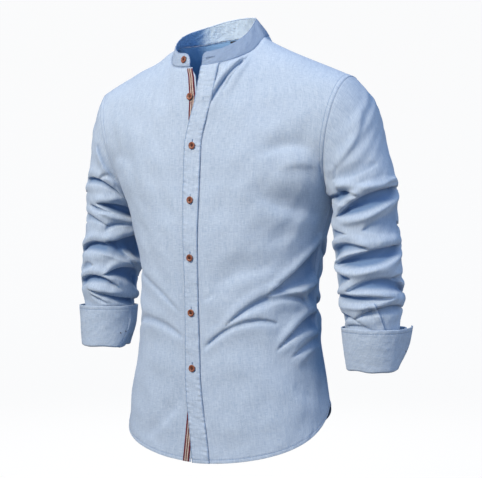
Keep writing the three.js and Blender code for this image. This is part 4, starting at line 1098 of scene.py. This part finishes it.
class ShirtSizes(bpy.types.PropertyGroup):
    """Named sizes and colours of the shirt's looks."""
    wall: FloatProperty(name="Cloth", description="Thickness of the panels and sleeves", default=0.0009,
                        unit="LENGTH", subtype="DISTANCE", precision=5)
    stitch_pitch: FloatProperty(name="Stitch", default=2.6,
                                description="Length of one stitch and its hole, in millimetres")
    button: FloatProperty(name="Button", description="Radius of a button", default=0.006,
                          unit="LENGTH", subtype="DISTANCE", precision=5)
    light_cloth: FloatVectorProperty(name="Light thread", description="Colour of the palest threads",
                                     subtype="COLOR", default=(0.44, 0.54, 0.665))
    dark_cloth: FloatVectorProperty(name="Dark thread", description="Colour of the deepest threads",
                                    subtype="COLOR", default=(0.30, 0.395, 0.54))
    thread: FloatVectorProperty(name="Seam thread", description="Colour of the seams' stitches",
                                subtype="COLOR", default=(0.19, 0.29, 0.48))


def sizes():
    return bpy.context.scene.shirt_sizes


def cloth_wall():
    """Wall of the panels and sleeves in millimetres."""
    return sizes().wall / MM


def seam_relief(facts, u, v):
    """Height in millimetres of the turned edges: flat seams at the sides and armholes, and the hem."""
    arm, up = facts["arm"], facts["hem"]
    side = 0.45 * (1 - smooth(arm, 8.4, 9.8))
    hem = 0.35 * (1 - smooth(up, 6.6, 7.8))
    pull = waves(u, v, 41, 13) * 0.36
    near = np.exp(-((arm - 6) / 7) ** 2) + np.exp(-((up - 6) / 6) ** 2)
    return side + hem + pull * near * smooth(up, 0.5, 3) * smooth(arm, 0.5, 3)


class SHIRT_OT_panels(bpy.types.Operator):
    """Both fronts and the back, with their creases, seams and hem."""
    bl_idname = "shirt.panels"
    bl_label = "Fronts and back"

    def execute(self, context):
        for name in ("front_left", "front_right", "back"):
            p, n, w, hollow = back_grid() if name == "back" else front_grid(name == "front_right")
            facts = panel_facts(p, name == "back")
            # The pocket mask sets the painted shade in the pockets.
            facts["hollow"] = hollow
            uv = cloth_uv(p, w)
            p = p + n * (seam_relief(facts, uv[..., 0], uv[..., 1]) - cloth_wall() / 2)[..., None]
            cloth_piece("cloth_" + name, name, cloth_material("panel"), p, n, (cloth_wall(), 0.4), uv, facts)
        return {"FINISHED"}


class SHIRT_OT_placket(bpy.types.Operator):
    """The buttonhole band and the striped tape under it."""
    bl_idname = "shirt.placket"
    bl_label = "Placket and tape"

    def execute(self, context):
        p, n, mm = placket_grid()
        v = lengths_along(p, 0)
        stitched = np.exp(-((np.abs(mm) - 12.6) / 3.2) ** 2)  # strongest beside the two seams
        low = 0.7 + 0.6 * smooth(-v, -260, -60)
        pucker = 0.4 * waves(mm * 0.4, v, 51, 8) * (0.4 + stitched) * low + 0.3 * waves(mm * 0.25, v, 52, 24)
        p = p + n * (RAISED["placket"] + pucker * smooth(v, 0, 4))[..., None]
        cloth_piece("cloth_placket", "placket", cloth_material("placket"), p, n, LAYERS["placket"],
                    np.stack([mm, v], -1), {"edge": PLACKET["half"] - np.abs(mm), "hem": v})
        p, n, mm = tape_grid()
        v = lengths_along(p, 0)
        p = p + n * (RAISED["tape"] + 0.06 * waves(mm, v, 53, 14))[..., None]
        cloth_piece("striped_tape", "placket_tape", tape_material(), p, n, LAYERS["tape"],
                    np.stack([mm, v], -1))
        return {"FINISHED"}


class SHIRT_OT_collar(bpy.types.Operator):
    """The stand collar."""
    bl_idname = "shirt.collar"
    bl_label = "Stand collar"

    def execute(self, context):
        grid, at = collar_grid()
        n = outward_normals(grid, 0, NECK["y"], len(grid))
        u = np.broadcast_to(at, grid.shape[:2])
        v = lengths_along(grid, 0)
        ripple = 0.3 * waves(u, v * 0.6, 61, 16) + 0.2 * waves(u, v, 62, 7)
        p = grid + n * (RAISED["collar"] + ripple)[..., None]
        edge = np.minimum(np.minimum(v, v[-1:] - v), np.minimum(u, u[:, -1:] - u))
        cloth_piece("cloth_collar", "collar_band", cloth_material("collar"), p, n, LAYERS["collar"],
                    np.stack([u, v], -1), {"edge": edge})
        return {"FINISHED"}


def outward_normals(grid, x, y, rows):
    """Normals that point away from the upright line at x and y, judged on the first rows."""
    n = grid_normals(grid)
    outward = points(grid[..., 0] - x, grid[..., 1] - y, 0 * grid[..., 0])
    return -n if float((n[:rows] * outward[:rows]).sum(-1).mean()) < 0 else n


class SHIRT_OT_sleeves(bpy.types.Operator):
    """Sleeves pushed up in folds, with the bound slits above the cuffs."""
    bl_idname = "shirt.sleeves"
    bl_label = "Sleeves"

    def execute(self, context):
        for side in ("left", "right"):
            phi, q = np.meshgrid(np.linspace(0, 360, 181)[:-1], clustered(212, (0, 0.3, 0.8, 1.6), 400))
            p, n, hollow = folded_sleeve(phi, q, side == "right")
            v = lengths_along(p, 0)
            cap = -0.25 * (1 - smooth(v, 1, 3.5)) + 0.3 * np.exp(-((v - 7) / 5) ** 2) * waves(phi, v, 71, 16)
            p = p + n * (cap - cloth_wall() / 2)[..., None]
            cloth_piece("cloth_sleeve_" + side, "sleeve_" + side, cloth_material("plain"), p, n,
                        (cloth_wall(), 0.4), np.stack([phi * DEGREE, -v], -1), {"top": v, "hollow": hollow},
                        True)
            self.slit(side)
        return {"FINISHED"}

    def slit(self, side):
        """Bound slit: its free edge leans across the sleeve and its other edge lies under the surface."""
        start, end, way = SLIT[side]
        q = np.linspace(SLIT["start"], SLIT["end"], 80)
        whole, normals, _ = folded_sleeve(*np.meshgrid(np.arange(360.0), q), side == "right")
        share = clustered(19, (0, 0.2, 0.5), 16)[None]
        down = ((q - q[0]) / (q[-1] - q[0]))[:, None]
        cols = start + (end - start) * down + way * SLIT["wide"] * share
        k = cols.astype(int)
        rows = np.arange(len(q))[:, None]
        t = (cols - k)[..., None]
        p = whole[rows, k] * (1 - t) + whole[rows, k + 1] * t
        n = unit(normals[rows, k] * (1 - t) + normals[rows, k + 1] * t)
        p = p + n * (1.5 - 2.15 * np.maximum(smooth(share, 0.25, 1), 1 - smooth(down, 0, 0.1)))[..., None]
        u, v = lengths_along(p, 1), lengths_along(p, 0)
        cloth_piece("cloth_slit_" + side, "sleeve_placket_" + side, cloth_material("strip"), p, n,
                    LAYERS["slit"], np.stack([u, v], -1), {"edge": np.minimum(u, u[:, -1:] - u)})


class SHIRT_OT_cuffs(bpy.types.Operator):
    """Turned-back cuffs."""
    bl_idname = "shirt.cuffs"
    bl_label = "Cuffs"

    def execute(self, context):
        for side, cuff in (("left", CUFF_LEFT), ("right", CUFF_RIGHT)):
            grid, _, _ = cuff_grid(cuff)
            n = outward_normals(grid, cuff["side"] * cuff["x"], cuff["y"], 20)
            u, v = lengths_along(grid, 1), lengths_along(grid, 0)
            cloth_piece("cloth_cuff_" + side, "cuff_" + side, cloth_material("cuff"),
                        grid + n * RAISED["cuff"], n, LAYERS["cuff"], np.stack([u, v], -1),
                        {"edge": v, "end": u})
        return {"FINISHED"}


# A button's outline from the middle of its face to the middle of its back: share of the radius, height
BUTTON_PROFILE = np.array([
    (0.0, 1.7), (0.2, 1.7), (0.35, 1.72), (0.48, 1.78), (0.56, 2.0), (0.62, 2.35), (0.70, 2.52), (0.80, 2.58),
    (0.90, 2.5), (0.96, 2.3), (1.0, 1.7), (0.99, 1.1), (0.92, 0.5), (0.8, 0.12), (0.5, 0.0), (0.0, 0.0)])


def button_mesh(name, place, normal):
    """Disc with a raised rim and four holes in a sunk middle, its axis along the normal."""
    t = np.linspace(0, len(BUTTON_PROFILE) - 1, 61)
    steps = np.arange(len(BUTTON_PROFILE))
    r = (np.interp(t, steps, BUTTON_PROFILE[:, 0]) * (sizes().button / MM))[:, None]
    angle = np.linspace(0, 2 * np.pi, 61)[:-1]
    x, y = r * np.cos(angle), r * np.sin(angle)
    pit = np.zeros(x.shape)
    for dx in (-HOLES["off"], HOLES["off"]):
        for dy in (-HOLES["off"], HOLES["off"]):
            pit = np.maximum(pit, np.exp(-(np.hypot(x - dx, y - dy) / HOLES["half"]) ** 6))
    h = np.interp(t, steps, BUTTON_PROFILE[:, 1])[:, None] - HOLES["deep"] * pit * (t < 9)[:, None]
    n = unit(np.asarray(normal, float))
    side = unit(np.cross((0, 0, 1.0), n))
    over = np.cross(n, side)
    verts = place + x[..., None] * side + y[..., None] * over + h[..., None] * n
    middle = np.exp(-(np.hypot(x, y) / 2.6) ** 4) * (t < 7)[:, None]
    obj = mesh_object(name, verts.reshape(-1, 3), grid_faces(*x.shape, True, True), {"middle": middle})
    return obj, side, over, n


def tube(line, radius, sides=8):
    """Vertices and faces of a round tube along a line, closed at its ends."""
    line = np.asarray(line, float)
    along = unit(np.gradient(line, axis=0))
    a = unit(np.cross(along, (0.31, 0.17, 0.93)))
    b = np.cross(along, a)
    turn = np.linspace(0, 2 * np.pi, sides + 1)[:-1, None]
    rings = line[:, None] + radius * (a[:, None] * np.cos(turn) + b[:, None] * np.sin(turn))
    last = (len(line) - 1) * sides
    ends = [tuple(range(sides))[::-1], tuple(last + k for k in range(sides))]
    return rings.reshape(-1, 3), [tuple(f) for f in grid_faces(len(line), sides, True)] + ends


def joined(parts):
    """One list of vertices and faces from several."""
    verts, faces, base = [], [], 0
    for v, f in parts:
        verts.append(v)
        faces += [tuple(int(k) + base for k in face) for face in f]
        base += len(v)
    return np.concatenate(verts), faces


def buttonhole(place, along, normal):
    """Closed loop of thread, 15 mm long, round a slot."""
    side = unit(np.cross(normal, along))
    t = np.linspace(0, 2 * np.pi, 49)[:, None]
    reach = np.clip(1.4 * np.cos(t), -1, 1) * 7.5
    return tube(place + reach * along + np.clip(1.6 * np.sin(t), -1, 1) * 0.65 * side, THREAD["hole"])


def front_seat(w, column, out):
    """Place and normal out from a front's centre line, on the right front in the second column."""
    s = np.array([[-0.004, 0, 0.004]]) + float(spread_at(w, column))
    rows = np.array([[w - 0.004], [w], [min(w + 0.004, 1.999)]])
    p = body(np.broadcast_to(s, (3, 3)), np.broadcast_to(rows, (3, 3)), True)
    n = grid_normals(p)[1, 1]
    turn = np.array([-1.0 if column == 2 else 1.0, 1, 1])
    return (p[1, 1] + n * out) * turn, n * turn


def collar_seat(grid, column, out):
    """Place and outward normal half way up the collar."""
    mid = len(grid) // 2
    n = grid_normals(grid)[mid, column]
    n = -n if n[1] > 0 else n
    return grid[mid, column] + n * out, n


# Stitches that show on the cuffs: cuff, share round it, share down it, turn
MARKS = ((CUFF_LEFT, 0.055, 0.60, 0.3), (CUFF_RIGHT, 0.03, 0.66, 0.6), (CUFF_RIGHT, 0.06, 0.68, 1.0))


class SHIRT_OT_buttons(bpy.types.Operator):
    """Seven buttons, the thread through their holes, and the buttonholes."""
    bl_idname = "shirt.buttons"
    bl_label = "Buttons"

    def execute(self, context):
        grid, at = collar_grid()
        places = [("button_front_1", *front_seat(row_at(BUTTON_Z[0]), 2, -0.4))]
        for k, z in enumerate(BUTTON_Z[1:]):
            places.append((f"button_front_{k + 2}", *front_seat(row_at(z), 1, 2.2)))
        places.append(("button_collar", *collar_seat(grid, int(np.argmin(np.abs(at - 16))), 0.5)))
        material = button_material()
        threads = []
        for name, place, normal in places:
            obj, side, over, n = button_mesh("fine_" + name, place, normal)
            finish_piece(obj, [name], material)
            t = np.linspace(-1, 1, 15)[:, None]
            rise = 1.75 + 0.25 * (1 - t ** 2) - 3.6 * np.clip(np.abs(t) - 0.75, 0, 1)
            for dx in (-HOLES["off"], HOLES["off"]):
                threads.append(tube(place + side * dx + over * 1.35 * t + n * rise, THREAD["button"]))
        threads += [self.mark(*mark) for mark in MARKS]
        obj = mesh_object("button_thread", *joined(threads))
        finish_piece(obj, [], thread_material("Brown thread", (0.09, 0.03, 0.015)))
        loops = []
        for z in BUTTON_Z:
            place, normal = front_seat(row_at(z + (2.5 if z < -110 else 0)), 1, 2.0)
            loops.append(buttonhole(place, unit(np.array([0, 0, 1.0]) - normal * normal[2]), normal))
        column = int(np.argmin(np.abs(at - (at[-1] - 15))))
        place, normal = collar_seat(grid, column, 0.35)
        row = grid[len(grid) // 2]
        loops.append(buttonhole(place, unit(row[column + 2] - row[column - 2]), normal))
        obj = mesh_object("buttonhole_thread", *joined(loops))
        finish_piece(obj, [], thread_material("Blue thread", (0.22, 0.32, 0.50)))
        return {"FINISHED"}

    def mark(self, cuff, around, down, turn):
        """Short stitch that holds a button on the cuff's hidden face."""
        grid, share, fall = cuff_grid(cuff)
        row = int(np.argmin(np.abs(fall[:30, 0] - down)))
        column = int(np.argmin(np.abs(share[0] - around)))
        place = grid[row, column]
        over = unit(grid[row, column + 1] - grid[row, column - 1])
        up = unit(grid[row - 1, column] - grid[row + 1, column])
        out = unit(np.cross(over, up))
        out = out * np.sign(out @ (place - (cuff["side"] * cuff["x"], cuff["y"], place[2])))
        t = np.linspace(-1.8, 1.8, 7)[:, None]
        return tube(place + 0.3 * out + t * (over * np.cos(turn) + up * np.sin(turn)), THREAD["mark"])


class SHIRT_OT_label(bpy.types.Operator):
    """Plain label inside the back neck."""
    bl_idname = "shirt.label"
    bl_label = "Neck label"

    def execute(self, context):
        wide = LABEL["left"] - LABEL["right"]
        mm, w = np.meshgrid(clustered(20, (0, 0.2), wide) * wide + LABEL["right"],
                            np.linspace(LABEL["low"], LABEL["high"], 12))
        p = body(mm / 300, w, False)
        n = -grid_normals(p)
        p = dropped(p) + n * RAISED["label"]
        cloth_piece("plain_label", "neck_label", label_material(), p, n, LAYERS["label"],
                    np.stack([mm, lengths_along(p, 0)], -1))
        return {"FINISHED"}


WARM = (1.0, 0.82, 0.59)  # colour of the lamps in front
VIEW = np.radians(31)  # how far the camera is turned to the wearer's left
WHITE = (0.935, 0.935, 0.935, 1)

# Square lamps: name, metres across, toward the camera and up from the shirt's middle, watts, size, colour
LAMPS = (
    ("Key", -2.1, 2.1, 2.1, 160, 0.8, WARM),
    ("Fill", 1.9, 1.6, 0.5, 19, 1.4, WARM),
    ("Low", -0.8, 2.4, -1.1, 40, 1.5, WARM),
    ("Back", 0.0, -2.0, 0.9, 34, 1.0, (0.94, 0.92, 0.90)),
)
NECK_LAMP = dict(across=-0.9, toward=1.9, up=0.25, power=34, cone=5.2, aim=(0.0, 0.045, 0.034))
CAMERA = dict(lens=86.86, sensor=36, across=0.0189, toward=2.0, up=-0.304, pitch=0.887)


def seen_from(across, toward, up):
    """Metres across the picture, toward the camera and up, turned into the frame's axes."""
    side, back = Vector((np.cos(VIEW), np.sin(VIEW), 0)), Vector((np.sin(VIEW), -np.cos(VIEW), 0))
    return side * across + back * toward + Vector((0, 0, up))


def stand(name, data, place, way):
    """Sets a lamp or the camera in its place, looking along a direction."""
    obj = bpy.data.objects.new(name, data)
    obj.location = place
    obj.rotation_euler = way.to_track_quat("-Z", "Y").to_euler()
    bpy.context.scene.collection.objects.link(obj)
    return obj


def fill_data(data, **values):
    """Sets named values of a lamp or the camera."""
    for key, value in values.items():
        setattr(data, key, value)
    return data


class SHIRT_OT_stage(bpy.types.Operator):
    """Floor and backdrop in one sweep, soft lights, and the camera."""
    bl_idname = "shirt.stage"
    bl_label = "Stage"

    def execute(self, context):
        context.scene.view_settings.view_transform = "Standard"
        self.sweep()
        self.world(context.scene)
        self.lamps()
        camera = fill_data(bpy.data.cameras.new("Camera"), lens=CAMERA["lens"], sensor_width=CAMERA["sensor"],
                           clip_start=0.05, clip_end=50)
        pitch = np.radians(CAMERA["pitch"])
        place = seen_from(CAMERA["across"], CAMERA["toward"], CAMERA["up"])
        context.scene.camera = stand("Camera", camera, place, seen_from(0, -np.cos(pitch), -np.sin(pitch)))
        return {"FINISHED"}

    def sweep(self):
        """Paper on the floor 1 m down, bent up into the backdrop by a quarter circle."""
        turn = np.linspace(0, np.pi / 2, 13)
        y = np.concatenate([[-5.0], 2.4 + 1.5 * np.sin(turn), [3.9]])
        z = np.concatenate([[-1.0], -1.0 + 1.5 * (1 - np.cos(turn)), [6.0]])
        verts = np.array([(a / MM, b / MM, c / MM) for b, c in zip(y, z) for a in (-9, 0, 9)])
        spin = np.array([[np.cos(VIEW), -np.sin(VIEW), 0], [np.sin(VIEW), np.cos(VIEW), 0], [0, 0, 1]])
        floor = mesh_object("stage_sweep", verts @ spin.T, grid_faces(len(y), 3))
        material, g, paper = new_material("Stage paper")
        g.fill(paper, {
            "Base Color": (0.05, 0.05, 0.05, 1),
            "Roughness": 0.9,
            "Specular IOR Level": 0.0,
            "Emission Color": WHITE,
            "Emission Strength": g.add("ShaderNodeLightPath").outputs["Is Camera Ray"],
        })
        floor.data.materials.append(material)

    def world(self, scene):
        scene.world = bpy.data.worlds.new("Studio")
        scene.world.use_nodes = True
        g = Graph(scene.world.node_tree)
        seen = g.add("ShaderNodeLightPath").outputs["Is Camera Ray"]
        g.fill(g.tree.nodes["Background"], {0: g.mix(seen, (0.215, 0.45, 0.83, 1), WHITE)})

    def lamps(self):
        for name, across, toward, up, power, size, colour in LAMPS:
            data = fill_data(bpy.data.lights.new(name, "AREA"), energy=power, size=size, color=colour)
            place = seen_from(across, toward, up)
            stand(name, data, place + Vector((0, 0, -0.35)), -place).visible_camera = False
        data = fill_data(bpy.data.lights.new("Neck", "SPOT"), energy=NECK_LAMP["power"],
                         spot_size=np.radians(NECK_LAMP["cone"]), spot_blend=0.9, shadow_soft_size=0.1,
                         color=(0.90, 0.95, 1.0))
        place = seen_from(NECK_LAMP["across"], NECK_LAMP["toward"], NECK_LAMP["up"])
        stand("Neck", data, place + Vector(NECK_LAMP["aim"]), -place)


class SHIRT_PT_panel(bpy.types.Panel):
    """The sizes and a button for each group of pieces."""
    bl_label = "Shirt"
    bl_idname = "SHIRT_PT_panel"
    bl_space_type = "VIEW_3D"
    bl_region_type = "UI"
    bl_category = "Shirt"

    def draw(self, context):
        for key in ShirtSizes.__annotations__:
            self.layout.prop(context.scene.shirt_sizes, key)
        for operator in OPERATORS:
            self.layout.operator(operator.bl_idname)


OPERATORS = (SHIRT_OT_panels, SHIRT_OT_placket, SHIRT_OT_collar, SHIRT_OT_sleeves, SHIRT_OT_cuffs,
             SHIRT_OT_buttons, SHIRT_OT_label, SHIRT_OT_stage)


def register():
    for kind in (ShirtSizes, *OPERATORS, SHIRT_PT_panel):
        bpy.utils.register_class(kind)
    bpy.types.Scene.shirt_sizes = bpy.props.PointerProperty(type=ShirtSizes)


def unregister():
    del bpy.types.Scene.shirt_sizes
    for kind in (SHIRT_PT_panel, *reversed(OPERATORS), ShirtSizes):
        bpy.utils.unregister_class(kind)


def main():
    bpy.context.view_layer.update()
    register()
    bpy.ops.shirt.panels()
    bpy.ops.shirt.placket()
    bpy.ops.shirt.collar()
    bpy.ops.shirt.sleeves()
    bpy.ops.shirt.cuffs()
    bpy.ops.shirt.buttons()
    bpy.ops.shirt.label()
    bpy.ops.shirt.stage()


if __name__ == "__main__":
    main()
